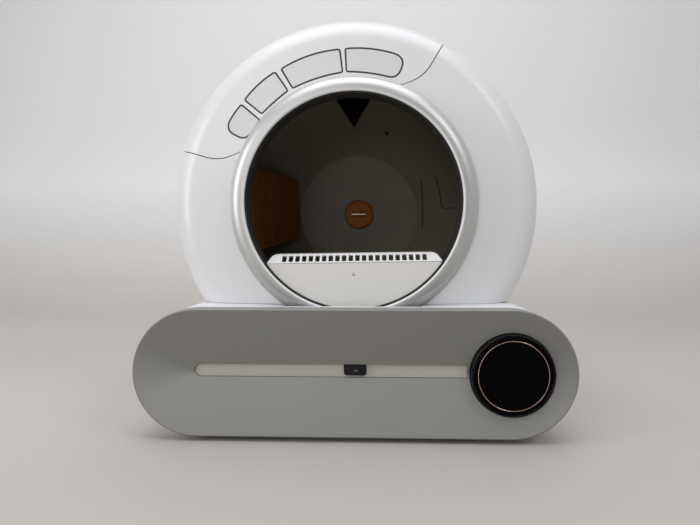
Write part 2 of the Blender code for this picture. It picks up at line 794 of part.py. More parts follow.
def build_housing(case):
    """The front and rear shells round the drum, and the lift-off cover over their top left."""
    front = full_housing(None, HOUSING_SPLIT - SPLIT_GAP / 2, "housing_front", case)
    rear = full_housing(HOUSING_SPLIT + SPLIT_GAP / 2, None, "housing_rear", case)
    opening = moved(prism(cover_outline(-SPLIT_GAP), -OVERRUN, cover_reach() + SPLIT_GAP), AXIS_LINE)
    for shell in (front, rear):
        copy = bmesh.new()
        helper_mesh = bpy.data.meshes.new("opening")
        opening.to_mesh(helper_mesh)
        copy.from_mesh(helper_mesh)
        bpy.data.meshes.remove(helper_mesh)
        cut(shell, copy, "cover_opening")
        cut(shell, below_deck(), "deck_level")
    opening.free()
    add_ring_collar(front)
    build_top_cover(case)
    return front, rear


def add_ring_collar(shell):
    """A tube behind the ring's flange that ties the two sides of the front shell under the top cover."""
    inner = RING_OUTER + RING_FLANGE + COLLAR_GAP
    outer = inner + COLLAR_THICKNESS
    face = front_profile(0.0, HOUSING_SPLIT)[0][1] + (outer - RING_OUTER) * FACE_CONE_SLOPE_SHARE + CASE_WALL
    under_cover = face + COLLAR_GAP
    join(shell, moved(tube(inner, outer, under_cover, CRADLE_FRONT), AXIS_LINE), "collar")
    slim = SEAT_GAP
    front = face - CASE_WALL / 2
    rear = CRADLE_FRONT - slim
    foot = [(inner + slim, front), (outer - slim, front), (outer - slim, rear), (inner + slim, rear)]
    start = COVER_ANGLE_LEFT + COLLAR_FOOT_ANGLE
    sweep = 360.0 + COVER_ANGLE_RIGHT - COLLAR_FOOT_ANGLE - start
    join(shell, moved(turned(foot, LARGE_FACETS, start, sweep), AXIS_LINE), "collar_foot")
    cut(shell, below_deck(), "collar_level")


def build_top_cover(case):
    """The sector of the shell that lifts off, front face and barrel in one piece."""
    profile = front_profile(0.0, cover_reach()) + list(reversed(front_profile(CASE_WALL, cover_reach())))
    lift = add_empty("cover_lift", AXIS_LINE, case)
    cover = add_mesh("top_cover", turned(profile), white_plastic(), lift)
    keep(cover, prism(cover_outline(0.0), -OVERRUN, cover_reach() - SPLIT_GAP), "sector")
    return cover


def build_entry_ring(case):
    """The pearl ring round the entrance: a narrow lip, a crown that falls to the housing, a flange."""
    crest = RING_INNER + RING_CREST
    lip_rear = RING_FRONT + RING_LIP_DEPTH
    inner = quarter_ellipse((crest, lip_rear), -RING_CREST, RING_LIP_DEPTH, 90.0, RING_INNER_EDGE_ANGLE,
                            RING_LIP_FACETS)
    outer = []
    end = math.radians(RING_SLOPE_END)
    for step in range(RING_SLOPE_FACETS + 1):
        angle = end * step / RING_SLOPE_FACETS
        radius = crest + (RING_OUTER - crest) * math.sin(angle) / math.sin(end)
        outer.append((radius, RING_FRONT + RING_RISE * (1 - math.cos(angle)) / (1 - math.cos(end))))
    face = front_profile(0.0, HOUSING_SPLIT)[0][1]
    flange_front = face + CASE_WALL + RING_FLANGE * FACE_CONE_SLOPE_SHARE + 2 * SEAT_GAP
    flange_rear = flange_front + RING_FLANGE_THICKNESS
    flange_radius = RING_OUTER + RING_FLANGE
    bore = RING_INNER + RING_BORE_STEP
    back = [
        (RING_OUTER, flange_front),
        (flange_radius, flange_front),
        (flange_radius, flange_rear),
        (bore + THIN_WALL, flange_rear),
        (bore + THIN_WALL, RING_BACK),
        (bore, RING_BACK),
        (bore, lip_rear),
    ]
    ring = add_mesh("entry_ring", moved(turned(inner + outer + back), AXIS_LINE), pearl_silver(), case)
    open_half = RING_FLANGE_OPEN_ANGLE / 2
    gap = [
        (RING_OUTER, flange_front - SEAT_GAP),
        (flange_radius + OVERRUN, flange_front - SEAT_GAP),
        (flange_radius + OVERRUN, flange_rear + OVERRUN),
        (RING_OUTER, flange_rear + OVERRUN),
    ]
    cutter = turned(gap, LARGE_FACETS, -90.0 - open_half, 2 * open_half)
    cut(ring, moved(cutter, AXIS_LINE), "flange_gap")
    return ring


def build_drive(case):
    """The gearmotor on its bracket behind the drum, and the bush that the drum's axle turns in."""
    bush = tube(AXLE_RADIUS + BEARING_GAP, BUSH_OUTER, AXLE_END - BEARING_LENGTH, AXLE_END)
    add_mesh("rear_bush", moved(bush, AXIS_LINE), nylon(), case)
    x, drop = around(GEAR_RADIUS + PINION_RADIUS, PINION_ANGLE)
    motor = add_empty("motor_axis", (x, 0, DRUM_AXIS_Z + drop), case)
    plate_front = GEAR_REAR + SLIDE_GAP
    plate_rear = plate_front + BRACKET_WALL
    bottom = BASE_TOP + SEAT_GAP - DRUM_AXIS_Z - drop
    half = MOTOR_RADIUS
    foot_reach = plate_rear + MOTOR_LENGTH / 2
    outline = [(-half, bottom)] + [(half, bottom)] + arc((0, 0), half, 0.0, 180.0, END_FACETS)
    bracket = add_mesh("motor_bracket", prism(outline, plate_front, plate_rear), steel(), motor)
    foot = block((-half, plate_front, bottom), (half, foot_reach, bottom + THIN_WALL))
    join(bracket, foot, "foot")
    hole = SHAFT_RADIUS + SEAT_GAP
    cut(bracket, rod(hole, plate_front - OVERRUN, plate_rear + OVERRUN, SMALL_FACETS), "shaft_hole")
    box_front = plate_rear + SEAT_GAP
    box_rear = box_front + GEARBOX_LENGTH
    shaft_front = GEAR_FRONT
    case_r = MOTOR_RADIUS - BRACKET_WALL / 2
    add_mesh("gearbox", rod(case_r, box_front, box_rear, MEDIUM_FACETS), steel(), motor)
    can_front = box_rear + SEAT_GAP
    can_radius = case_r - BRACKET_WALL
    can_rear = min(can_front + MOTOR_LENGTH, HOUSING_REAR - REAR_RECESS_DEPTH - CASE_WALL - SLIDE_GAP)
    add_mesh("drive_motor", rod(can_radius, can_front, can_rear, MEDIUM_FACETS), steel(), motor)
    build_pinion(motor, shaft_front, box_front - SEAT_GAP)
    return motor


def tooth_outline(teeth, tip, root, phase):
    """A spur gear's outline as (x, z), four points for each tooth, with a little backlash."""
    points = []
    pitch = 360.0 / teeth
    for index in range(teeth):
        middle = phase + pitch * index
        root_half = pitch * (ROOT_HALF_SHARE - GEAR_BACKLASH_SHARE / 4)
        tip_half = pitch * (TIP_HALF_SHARE - GEAR_BACKLASH_SHARE / 4)
        points.append(around(root, middle - root_half))
        points.append(around(tip, middle - tip_half))
        points.append(around(tip, middle + tip_half))
        points.append(around(root, middle + root_half))
    return points


def build_pinion(motor, front, rear):
    """The drive pinion with its shaft, on the motor's axis."""
    tip = PINION_RADIUS + GEAR_MODULE * ADDENDUM_SHARE
    root = PINION_RADIUS - GEAR_MODULE * DEDENDUM_SHARE
    pitch = 360.0 / PINION_TEETH
    facing = PINION_ANGLE + 180.0
    outline = tooth_outline(PINION_TEETH, tip, root, phase=facing + pitch / 2)
    pinion = add_mesh("drive_pinion", prism(outline, front, GEAR_REAR), nylon(), motor)
    join(pinion, rod(SHAFT_RADIUS, GEAR_REAR - SLIDE_GAP, rear, SMALL_FACETS), "shaft")
    return pinion


def cone_radius(y):
    """The inner radius of the drum's rear cone at a place along its axis."""
    share = (y - DRUM_SHELL_REAR) / (CONE_REAR - 2 * DRUM_WALL - DRUM_SHELL_REAR)
    return DRUM_RADIUS - DRUM_WALL + (REAR_DISC_RADIUS - DRUM_RADIUS) * share


def build_drum_front(drum):
    """The drum's dished front: a sleeve inside the entry ring, a shoulder and the rollers' track."""
    wall = DRUM_WALL
    mouth = MOUTH_INNER
    track = DRUM_RADIUS + TRACK_HEIGHT
    profile = [
        (mouth, MOUTH_FRONT),
        (mouth + wall, MOUTH_FRONT),
        (mouth + wall, MOUTH_REAR - wall),
        (DRUM_RADIUS - 2 * wall, DRUM_SHOULDER - 3 * wall),
        (DRUM_RADIUS, DRUM_SHOULDER),
        (DRUM_RADIUS, TRACK_FRONT - SLIDE_GAP),
        (track, TRACK_FRONT - SLIDE_GAP),
        (track, TRACK_FRONT + TRACK_WIDTH),
        (DRUM_RADIUS - wall, TRACK_FRONT + TRACK_WIDTH),
        (DRUM_RADIUS - wall, DRUM_SHOULDER + wall / 2),
        (DRUM_RADIUS - 3 * wall, DRUM_SHOULDER - 2 * wall),
        (mouth, MOUTH_REAR),
    ]
    return add_mesh("drum_front", turned(profile), drum_plastic(), drum)


def port_outline():
    """The waste port seen from above, as (x, y): square in front and drawn to a point at the rear."""
    right = PORT_OFFSET + PORT_HALF_WIDTH
    left = PORT_OFFSET - PORT_HALF_WIDTH
    corner = PORT_HALF_WIDTH / 3
    front = arc((right - corner, PORT_FRONT + corner), corner, 0.0, -90.0, 3)
    front += arc((left + corner, PORT_FRONT + corner), corner, -90.0, -180.0, 3)
    tip = corner * PORT_TIP_SHARE
    point = [(PORT_OFFSET - tip, PORT_APEX), (PORT_OFFSET + tip, PORT_APEX)]
    return [(right, PORT_TAPER)] + front + [(left, PORT_TAPER)] + point


def build_drum_shell(drum):
    """The drum's barrel with the waste port in its roof."""
    front = TRACK_FRONT + TRACK_WIDTH + SEAT_GAP
    rear = DRUM_SHELL_REAR - SEAT_GAP
    profile = [(DRUM_RADIUS, front), (DRUM_RADIUS, rear), (DRUM_RADIUS - DRUM_WALL, rear),
               (DRUM_RADIUS - DRUM_WALL, front)]
    shell = add_mesh("drum_shell", turned(profile), drum_plastic(), drum)
    cut(shell, prism(port_outline(), DRUM_RADIUS / 2, DRUM_RADIUS + OVERRUN, "Z"), "port")
    return shell


def build_drum_rear(drum):
    """The drum's coned rear wall with a flat middle; the port's point runs down the cone."""
    wall = DRUM_WALL
    disc = REAR_DISC_RADIUS
    profile = [
        (DRUM_RADIUS, DRUM_SHELL_REAR),
        (disc, CONE_REAR),
        (disc - 2 * wall, CONE_REAR),
        (AXLE_RADIUS + SEAT_GAP, CONE_REAR),
        (AXLE_RADIUS + SEAT_GAP, CONE_REAR - wall),
        (disc - 2 * wall, CONE_REAR - wall),
        (disc - wall, CONE_REAR - 2 * wall),
        (DRUM_RADIUS - wall, DRUM_SHELL_REAR),
    ]
    rear = add_mesh("drum_rear", turned(profile), drum_plastic(), drum)
    cut(rear, prism(port_outline(), REAR_DISC_RADIUS, DRUM_RADIUS + OVERRUN, "Z"), "port")
    return rear


def build_ring_gear(drum):
    """The large spur gear behind the drum's flat middle, with its web, and the axle through both."""
    tip = GEAR_RADIUS + GEAR_MODULE * ADDENDUM_SHARE
    root = GEAR_RADIUS - GEAR_MODULE * DEDENDUM_SHARE
    outline = tooth_outline(GEAR_TEETH, tip, root, phase=PINION_ANGLE)
    gear = add_mesh("drum_gear", prism(outline, GEAR_FRONT, GEAR_REAR), nylon(), drum)
    rim = root - 3 * GEAR_MODULE
    hub = 2 * AXLE_RADIUS
    web_rear = GEAR_FRONT + DRUM_WALL
    cut(gear, tube(hub, rim, web_rear, GEAR_REAR + OVERRUN), "recess")
    holes = []
    for index in range(GEAR_HOLES):
        x, z = around((hub + rim) / 2, 360.0 * index / GEAR_HOLES)
        hole_radius = (rim - hub) / 3
        hole = rod(hole_radius, GEAR_FRONT - OVERRUN, GEAR_REAR + OVERRUN, SMALL_FACETS)
        holes.append(moved(hole, (x, 0, z)))
    holes.append(rod(AXLE_RADIUS + SEAT_GAP, GEAR_FRONT - OVERRUN, GEAR_REAR + OVERRUN, MEDIUM_FACETS))
    cut(gear, merged(*holes), "holes")
    shoulder = AXLE_RADIUS + DRUM_WALL
    axle_front = CONE_REAR - DRUM_WALL - HUB_HEIGHT / 2
    axle = [(0, axle_front), (AXLE_RADIUS, axle_front), (AXLE_RADIUS, GEAR_REAR + SEAT_GAP),
            (shoulder, GEAR_REAR + SEAT_GAP), (shoulder, AXLE_END - BEARING_LENGTH - SLIDE_GAP),
            (AXLE_RADIUS, AXLE_END - BEARING_LENGTH - SLIDE_GAP), (AXLE_RADIUS, AXLE_END - SEAT_GAP),
            (0, AXLE_END - SEAT_GAP)]
    add_mesh("drum_axle", turned(axle), steel(), drum)
    return gear


def build_hub_cap(drum):
    """The round cap in the middle of the drum's back, with a level grip across it."""
    rear = CONE_REAR - DRUM_WALL - SEAT_GAP
    front = rear - HUB_HEIGHT
    edge = HUB_HEIGHT / 3
    bore = AXLE_RADIUS + SEAT_GAP
    socket = rear - HUB_HEIGHT / 2 - SEAT_GAP
    profile = [
        (0, front),
        (HUB_RADIUS - edge, front),
        (HUB_RADIUS, front + edge),
        (HUB_RADIUS, rear),
        (bore, rear),
        (bore, socket),
        (0, socket),
    ]
    cap = add_mesh("hub_cap", turned(profile, MEDIUM_FACETS), sieve_plastic(), drum)
    half = HUB_RADIUS * HUB_GRIP_SHARE
    grip = block((-half, front - edge, -edge), (half, front + edge, edge))
    join(cap, grip, "grip")
    return cap


def slanted(shape):
    """Draws the sieve's lower edge up towards its rear."""
    rise = (SIEVE_BOTTOM - SIEVE_REAR_BOTTOM) / (SIEVE_REAR - SIEVE_FRONT)
    for vertex in shape.verts:
        if vertex.co.z < 0:
            vertex.co.z += rise * (vertex.co.y - SIEVE_FRONT)
    return shape


def sieve_path(thickness=0.0):
    """The screen's path from front to rear as (x, y), set towards the drum's wall by a thickness."""
    return [
        (-SIEVE_X - thickness, SIEVE_FRONT),
        (-SIEVE_BEND_X - thickness, SIEVE_BEND),
        (-SIEVE_REAR_X - thickness, SIEVE_REAR),
    ]


def build_sieve(drum):
    """The slotted screen along the drum's left wall, turned inwards at its rear, with shelves to the wall."""
    wall = DRUM_WALL
    face = sieve_path() + list(reversed(sieve_path(wall)))
    sieve = add_mesh("sieve", slanted(prism(face, -SIEVE_BOTTOM, SIEVE_TOP, "Z")), sieve_plastic(), drum)
    shelf = sieve_path() + [(-DRUM_RADIUS, SIEVE_REAR), (-DRUM_RADIUS, SIEVE_FRONT)]
    join(sieve, prism(shelf, SIEVE_TOP - wall, SIEVE_TOP, "Z"), "top_shelf")
    join(sieve, slanted(prism(shelf, -SIEVE_BOTTOM, wall - SIEVE_BOTTOM, "Z")), "low_shelf")
    inside = DRUM_RADIUS - wall - SEAT_GAP
    keep(sieve, turned([
        (0, SIEVE_FRONT - OVERRUN),
        (inside, SIEVE_FRONT - OVERRUN),
        (inside, DRUM_SHELL_REAR - wall),
        (cone_radius(SIEVE_REAR) - 2 * SEAT_GAP, SIEVE_REAR),
        (0, SIEVE_REAR),
    ]), "drum_inside")
    slots = []
    count = int((SIEVE_BEND - SIEVE_FRONT - 2 * wall) / SIEVE_SLOT_PITCH)
    for index in range(count):
        near = SIEVE_FRONT + 2 * wall + SIEVE_SLOT_PITCH * index
        slots.append(slanted(block(
            (-SIEVE_X - 2 * wall, near, 3 * wall - SIEVE_BOTTOM),
            (-SIEVE_BEND_X + wall, near + SIEVE_SLOT_WIDTH, SIEVE_TOP - 3 * wall),
        )))
    cut(sieve, merged(*slots), "slots")
    return sieve


def step_arc_angle(radius, level):
    """The angle below the axis at which a circle meets a level line under the axis."""
    return math.degrees(math.asin(level / radius))


def build_step(drum):
    """The entry step: a crescent front with a skirt that sits in the drum's sleeve."""
    start = step_arc_angle(STEP_RADIUS, STEP_LIP_DROP)
    rim = arc((0, 0), STEP_RADIUS, -180.0 + start, -start, 2 * END_FACETS)
    body = add_mesh("step", prism(rim, STEP_FRONT, STEP_REAR), step_plastic(), drum)
    inner = arc((0, 0), STEP_RADIUS - STEP_WALL, -180.0 + start, -start, 2 * END_FACETS)
    hollow = inner + [(inner[-1][0], 0), (inner[0][0], 0)]
    cut(body, prism(hollow, STEP_FRONT + STEP_WALL, STEP_REAR + OVERRUN), "hollow")
    body.data.transform(Matrix.Rotation(math.radians(-STEP_TILT), 4, "Y"))
    return body


def build_grille(drum):
    """The slotted top of the step: a steep riser behind the lip, and a plateau back to the litter."""
    wall = STEP_WALL
    low = SEAT_GAP - STEP_LIP_DROP
    top = low + STEP_TOP_RISE
    crest = STEP_FRONT + STEP_RISER_DEPTH
    section = [
        (STEP_FRONT, low),
        (STEP_FRONT, low + wall / 2),
        (crest, top),
        (STEP_REAR, top),
        (STEP_REAR, top - wall),
        (crest + wall / 2, top - wall),
        (STEP_FRONT + wall, low),
    ]
    half = math.sqrt(STEP_RADIUS**2 - STEP_LIP_DROP**2) - SEAT_GAP
    grille = add_mesh("step_grille", prism(section, -half, half, "X"), step_plastic(), drum)
    right = [
        (half, low - OVERRUN),
        (half, low + wall / 2),
        (half - GRILLE_END_SLANT, top - wall),
        (half - GRILLE_END_SLANT - GRILLE_END_EASE, top + SEAT_GAP),
    ]
    trim = right + [(-x, z) for x, z in reversed(right)]
    keep(grille, prism(trim, STEP_FRONT - OVERRUN, STEP_REAR + OVERRUN), "ends")
    row_half = half - GRILLE_END_INSET
    pitch = 2 * row_half / GRILLE_SLOTS
    width = pitch * GRILLE_SLOT_SHARE
    slots = []
    riser_top = low + STEP_TOP_RISE * GRILLE_RISER_SHARE
    for index in range(GRILLE_SLOTS):
        left = pitch * (index + 1 / 2) - row_half - width / 2
        right = left + width
        slots.append(block((left, STEP_FRONT - OVERRUN, low + wall / 2), (right, crest, riser_top)))
        slots.append(block((left, crest + 2 * wall, low), (right, STEP_REAR - 2 * wall, top + OVERRUN)))
    cut(grille, merged(*slots), "slots")
    grille.data.transform(Matrix.Rotation(math.radians(-STEP_TILT), 4, "Y"))
    return grille


def build_drum(case):
    drum = add_empty("drum_axis", AXIS_LINE, case)
    build_drum_front(drum)
    build_drum_shell(drum)
    build_drum_rear(drum)
    build_ring_gear(drum)
    build_hub_cap(drum)
    build_sieve(drum)
    build_step(drum)
    build_grille(drum)
    return drum


def dished_front():
    """The drawer front: a stadium slab whose face falls in a shallow V towards its middle line."""
    shape = bmesh.new()
    round_off = FRONT_EDGE_ROUND
    bulge = round_off * FRONT_EDGE_BULGE_SHARE
    loops = []
    for inset, y in ((0.0, FRONT_THICKNESS), (0.0, round_off), (bulge, bulge), (round_off, 0.0)):
        loops.append([shape.verts.new((x, y, z)) for x, z in stadium(inset)])
    for near, far in zip(loops, loops[1:]):
        for index in range(len(near)):
            following = (index + 1) % len(near)
            shape.faces.new((near[index], near[following], far[following], far[index]))
    shape.faces.new(loops[0])
    ridge_left = shape.verts.new((-BASE_END_X, FRONT_DISH, BASE_MID))
    ridge_right = shape.verts.new((BASE_END_X, FRONT_DISH, BASE_MID))
    rim = loops[-1]
    half = len(rim) // 2
    for index in range(len(rim)):
        following = (index + 1) % len(rim)
        if index == half - 1:
            shape.faces.new((rim[index], rim[following], ridge_left, ridge_right))
        elif index == len(rim) - 1:
            shape.faces.new((rim[index], rim[following], ridge_right, ridge_left))
        else:
            shape.faces.new((rim[index], rim[following], ridge_right if index < half else ridge_left))
    return shape


def strip_outline(inset):
    """The light strip's slot as (x, z): round at its left end and running under the control pod."""
    radius = STRIP_HEIGHT / 2 - inset
    mid = STRIP_BOTTOM + STRIP_HEIGHT / 2
    left = arc((STRIP_LEFT + STRIP_HEIGHT / 2, mid), radius, 90.0, 270.0, STRIP_END_FACETS)
    rise = mid + STRIP_HEIGHT / 2 - BASE_MID
    right = POD_X - math.sqrt((POD_RADIUS + POD_GAP) ** 2 - rise**2) - 2 * SLIDE_GAP
    return left + [(right - inset, mid - radius), (right - inset, mid + radius)]


def build_drawer_front(drawer):
    panel = add_mesh("drawer_front", dished_front(), grey_plastic(), drawer, FLAT_ANGLE)
    cut(panel, prism(strip_outline(0.0), -OVERRUN, FRONT_DISH + STRIP_DEPTH), "strip_slot")
    hole = rod(POD_RADIUS + POD_GAP, -OVERRUN, OVERRUN * 2)
    cut(panel, moved(hole, (POD_X, 0, BASE_MID)), "pod_hole")
    low, high = sensor_levels()
    pocket = block(
        (SENSOR_X - SENSOR_HALF_WIDTH, -OVERRUN, low),
        (SENSOR_X + SENSOR_HALF_WIDTH, FRONT_THICKNESS - FRONT_DISH, high),
    )
    cut(panel, pocket, "sensor_pocket")
    return panel


def sensor_levels():
    high = STRIP_BOTTOM + STRIP_HEIGHT
    return high - SENSOR_HEIGHT, high


def build_strip(drawer):
    """The frosted light strip, the black sensor window set in it, and the small board behind the window."""
    front = FRONT_DISH + STRIP_DEPTH - SEAT_GAP - STRIP_DEPTH / 2
    rear = FRONT_DISH + STRIP_DEPTH - SEAT_GAP
    strip = add_mesh("light_strip", prism(strip_outline(SEAT_GAP), front, rear), diffuser(), drawer)
    low, high = sensor_levels()
    half = SENSOR_HALF_WIDTH
    gap = block((SENSOR_X - half, -OVERRUN, low - SEAT_GAP), (SENSOR_X + half, OVERRUN, high + SEAT_GAP))
    cut(strip, gap, "window_gap")
    corner = SENSOR_HEIGHT / 3
    top = high - SEAT_GAP
    bottom = low + SEAT_GAP
    edge = half - SEAT_GAP
    lower = arc((SENSOR_X + edge - corner, bottom + corner), corner, 0.0, -90.0, 4)
    lower += arc((SENSOR_X - edge + corner, bottom + corner), corner, -90.0, -180.0, 4)
    outline = [(SENSOR_X + edge, top)] + lower + [(SENSOR_X - edge, top)]
    window = add_mesh("sensor_window", prism(outline, FRONT_DISH / 2, rear), black_glass(), drawer)
    board_front = rear + SEAT_GAP
    board = block(
        (SENSOR_X - edge, board_front, bottom),
        (SENSOR_X + edge, board_front + BOARD_THICKNESS, top),
    )
    add_mesh("sensor_board", board, board_green(), drawer)
    return strip, window


def frame_levels():
    low = FLOOR_TOP + SEAT_GAP + LOAD_CELL_THICKNESS + SLIDE_GAP
    return low, low + FRAME_WALL_HEIGHT


def build_drawer_frame(drawer):
    """The open cradle behind the drawer front that the waste bin stands in, on two low runners."""
    low, high = frame_levels()
    front = FRONT_THICKNESS + SEAT_GAP
    corner = BIN_CORNER / 2
    outer = rounded_rectangle(FRAME_LEFT, front, FRAME_RIGHT, FRAME_REAR, corner, 3)
    inner = rounded_rectangle(FRAME_LEFT + FRAME_WALL, front + FRAME_WALL, FRAME_RIGHT - FRAME_WALL,
                              FRAME_REAR - FRAME_WALL, corner - FRAME_WALL, 3)
    frame = add_mesh("drawer_frame", prism(outer, low, high, "Z"), grey_plastic(), drawer)
    cut(frame, prism(inner, low + FRAME_WALL, high + OVERRUN, "Z"), "inside")
    limit = prism(stadium(CASE_WALL + SLIDE_GAP), front - OVERRUN, FRAME_REAR + OVERRUN)
    keep(frame, limit, "base_shape")
    return frame


def bin_place():
    """The waste bin's outer edges at its floor and its two levels."""
    low, _ = frame_levels()
    left = FRAME_LEFT + FRAME_WALL + SLIDE_GAP
    right = FRAME_RIGHT - FRAME_WALL - SLIDE_GAP
    front = FRONT_THICKNESS + FRAME_WALL + SLIDE_GAP
    rear = FRAME_REAR - FRAME_WALL - SLIDE_GAP
    floor = low + FRAME_WALL + SEAT_GAP
    return left + BIN_DRAFT, front + BIN_DRAFT, right - BIN_DRAFT, rear - BIN_DRAFT, floor


def tub(grow, low, high):
    """A drafted tub with a rounded plan, from its floor up to its top."""
    left, front, right, rear, _ = bin_place()
    shape = bmesh.new()
    loops = []
    for spread, level in ((grow - BIN_WALL, low), (grow, low + BIN_WALL), (grow + BIN_FLARE, high)):
        sides = left - spread, front - spread, right + spread, rear + spread
        points = rounded_rectangle(*sides, BIN_CORNER + spread)
        loops.append([shape.verts.new((x, y, level)) for x, y in points])
    for near, far in zip(loops, loops[1:]):
        for index in range(len(near)):
            following = (index + 1) % len(near)
            shape.faces.new((near[index], near[following], far[following], far[index]))
    shape.faces.new(loops[0])
    shape.faces.new(loops[-1])
    return shape


def build_waste_bin(drawer):
    """The lift-out waste bin and the frame that holds its bag down."""
    left, front, right, rear, floor = bin_place()
    top = BIN_TOP
    waste_bin = add_mesh("waste_bin", tub(0.0, floor, top), grey_plastic(), drawer)
    spread = BIN_FLARE
    rim = rounded_rectangle(left - spread - BIN_WALL, front - spread - BIN_WALL, right + spread + BIN_WALL,
                            rear + spread + BIN_WALL, BIN_CORNER + spread)
    join(waste_bin, prism(rim, top - BIN_WALL, top, "Z"), "rim")
    cut(waste_bin, tub(-BIN_WALL, floor + BIN_WALL, top + BIN_WALL), "inside")
    inner = BIN_RIM
    low = top + SEAT_GAP
    outline = rounded_rectangle(left - spread, front - spread, right + spread, rear + spread, BIN_CORNER)
    hole = rounded_rectangle(left - spread + inner, front - spread + inner, right + spread - inner,
                             rear + spread - inner, BIN_CORNER - inner)
    ring = add_mesh("bag_ring", prism(outline, low, low + BAG_RING_HEIGHT, "Z"), white_plastic(), drawer)
    cut(ring, prism(hole, low - OVERRUN, low + OVERRUN, "Z"), "opening")
    return waste_bin


def build_drawer(case):
    drawer = add_empty("drawer_slide", (0, 0, 0), case)
    build_drawer_front(drawer)
    build_strip(drawer)
    build_drawer_frame(drawer)
    build_waste_bin(drawer)
    return drawer


def build_pod(case):
    """The control pod that reaches through the drawer front: housing, glass, copper line and board."""
    pod = add_empty("pod_axis", (POD_X, 0, BASE_MID), case)
    front = -POD_PROUD
    glass_radius = POD_RADIUS - GLASS_MARGIN
    seat = front + GLASS_THICKNESS + SEAT_GAP
    edge = GLASS_MARGIN / 2
    flange_front = BASE_FRONT + CASE_WALL + SEAT_GAP
    flange_rear = flange_front + POD_WALL
    profile = [
        (0, seat),
        (glass_radius + SEAT_GAP, seat),
        (glass_radius + SEAT_GAP, front),
        (POD_RADIUS - edge, front),
        (POD_RADIUS, front + edge),
        (POD_RADIUS, flange_front),
        (POD_RADIUS + POD_FLANGE, flange_front),
        (POD_RADIUS + POD_FLANGE, flange_rear),
        (POD_RADIUS, flange_rear),
        (POD_RADIUS, POD_REAR),
        (POD_RADIUS - POD_WALL, POD_REAR),
        (POD_RADIUS - POD_WALL, seat + POD_WALL),
        (0, seat + POD_WALL),
    ]
    facets = LARGE_FACETS
    add_mesh("pod_housing", turned(profile, facets), black_plastic(), pod)
    groove = COPPER_THICKNESS
    half = COPPER_WIDTH / 2
    line_inner = COPPER_RADIUS - half
    line_outer = COPPER_RADIUS + half
    slack = SEAT_GAP / 2
    floor = front + groove + SEAT_GAP
    glass = [
        (0, front),
        (line_inner - slack, front),
        (line_inner - slack, floor),
        (line_outer + slack, floor),
        (line_outer + slack, front),
        (glass_radius, front),
        (glass_radius, front + GLASS_THICKNESS),
        (0, front + GLASS_THICKNESS),
    ]
    add_mesh("touch_glass", turned(glass, facets), black_glass(), pod)
    line = tube(line_inner, line_outer, front, front + groove, facets)
    add_mesh("copper_line", line, copper(), pod)
    board_front = seat + POD_WALL + SEAT_GAP
    board = rod(glass_radius - POD_WALL, board_front, board_front + BOARD_THICKNESS, MEDIUM_FACETS)
    add_mesh("display_board", board, board_green(), pod)
    return pod


def build_electrics(case):
    """The main board beside the drawer, and the low-voltage inlet in the rear wall."""
    low = FLOOR_TOP + SEAT_GAP
    x0 = DIVIDER_X + THIN_WALL + SEAT_GAP
    near = BASE_REAR - FOOT_INSET - LOAD_CELL_SIZE - BOARD_LENGTH
    outline = rounded_rectangle(near, low, near + BOARD_LENGTH, low + BOARD_HEIGHT, INLET_FLANGE, 2)
    add_mesh("main_board", prism(outline, x0, x0 + BOARD_THICKNESS, "X"), board_green(), case)
    x, z = inlet_place()
    rear = BASE_REAR
    boss = INLET_BORE + THIN_WALL / 2
    floor = rear - INLET_LENGTH + THIN_WALL
    profile = [
        (0, rear - INLET_LENGTH),
        (INLET_RADIUS, rear - INLET_LENGTH),
        (INLET_RADIUS, rear - SEAT_GAP),
        (boss, rear - SEAT_GAP),
        (boss, rear),
        (INLET_BORE, rear),
        (INLET_BORE, floor),
        (0, floor),
    ]
    inlet = add_mesh("power_inlet", moved(turned(profile, SMALL_FACETS), (x, 0, z)), black_plastic(), case)
    inner_wall = rear - CASE_WALL - SEAT_GAP
    rim = INLET_RADIUS + INLET_FLANGE
    flange = tube(INLET_RADIUS - SEAT_GAP, rim, inner_wall - INLET_FLANGE, inner_wall, SMALL_FACETS)
    join(inlet, moved(flange, (x, 0, z)), "flange")
    return inlet


def main():
    clear_scene()
    case = add_empty("front_face", (0, FRONT_FACE_Y, 0))
    build_base_tray(case)
    build_base_cover(case)
    build_feet(case)
    build_rollers(case)
    build_housing(case)
    build_entry_ring(case)
    build_drive(case)
    build_drum(case)
    build_drawer(case)
    build_pod(case)
    build_electrics(case)


main()
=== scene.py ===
"""Looks of the self-cleaning litter box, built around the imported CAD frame.

Metres, +Z up, the front faces -Y. The frame gives every size and place; the values below add only what
the CAD model leaves to the looks: edge rounds, seams, texture and the photograph's camera.
"""

import json
from math import asin, cos, degrees, hypot, pi, radians, sin, sqrt, tan

import bmesh
import bpy
from mathutils import Matrix, Vector


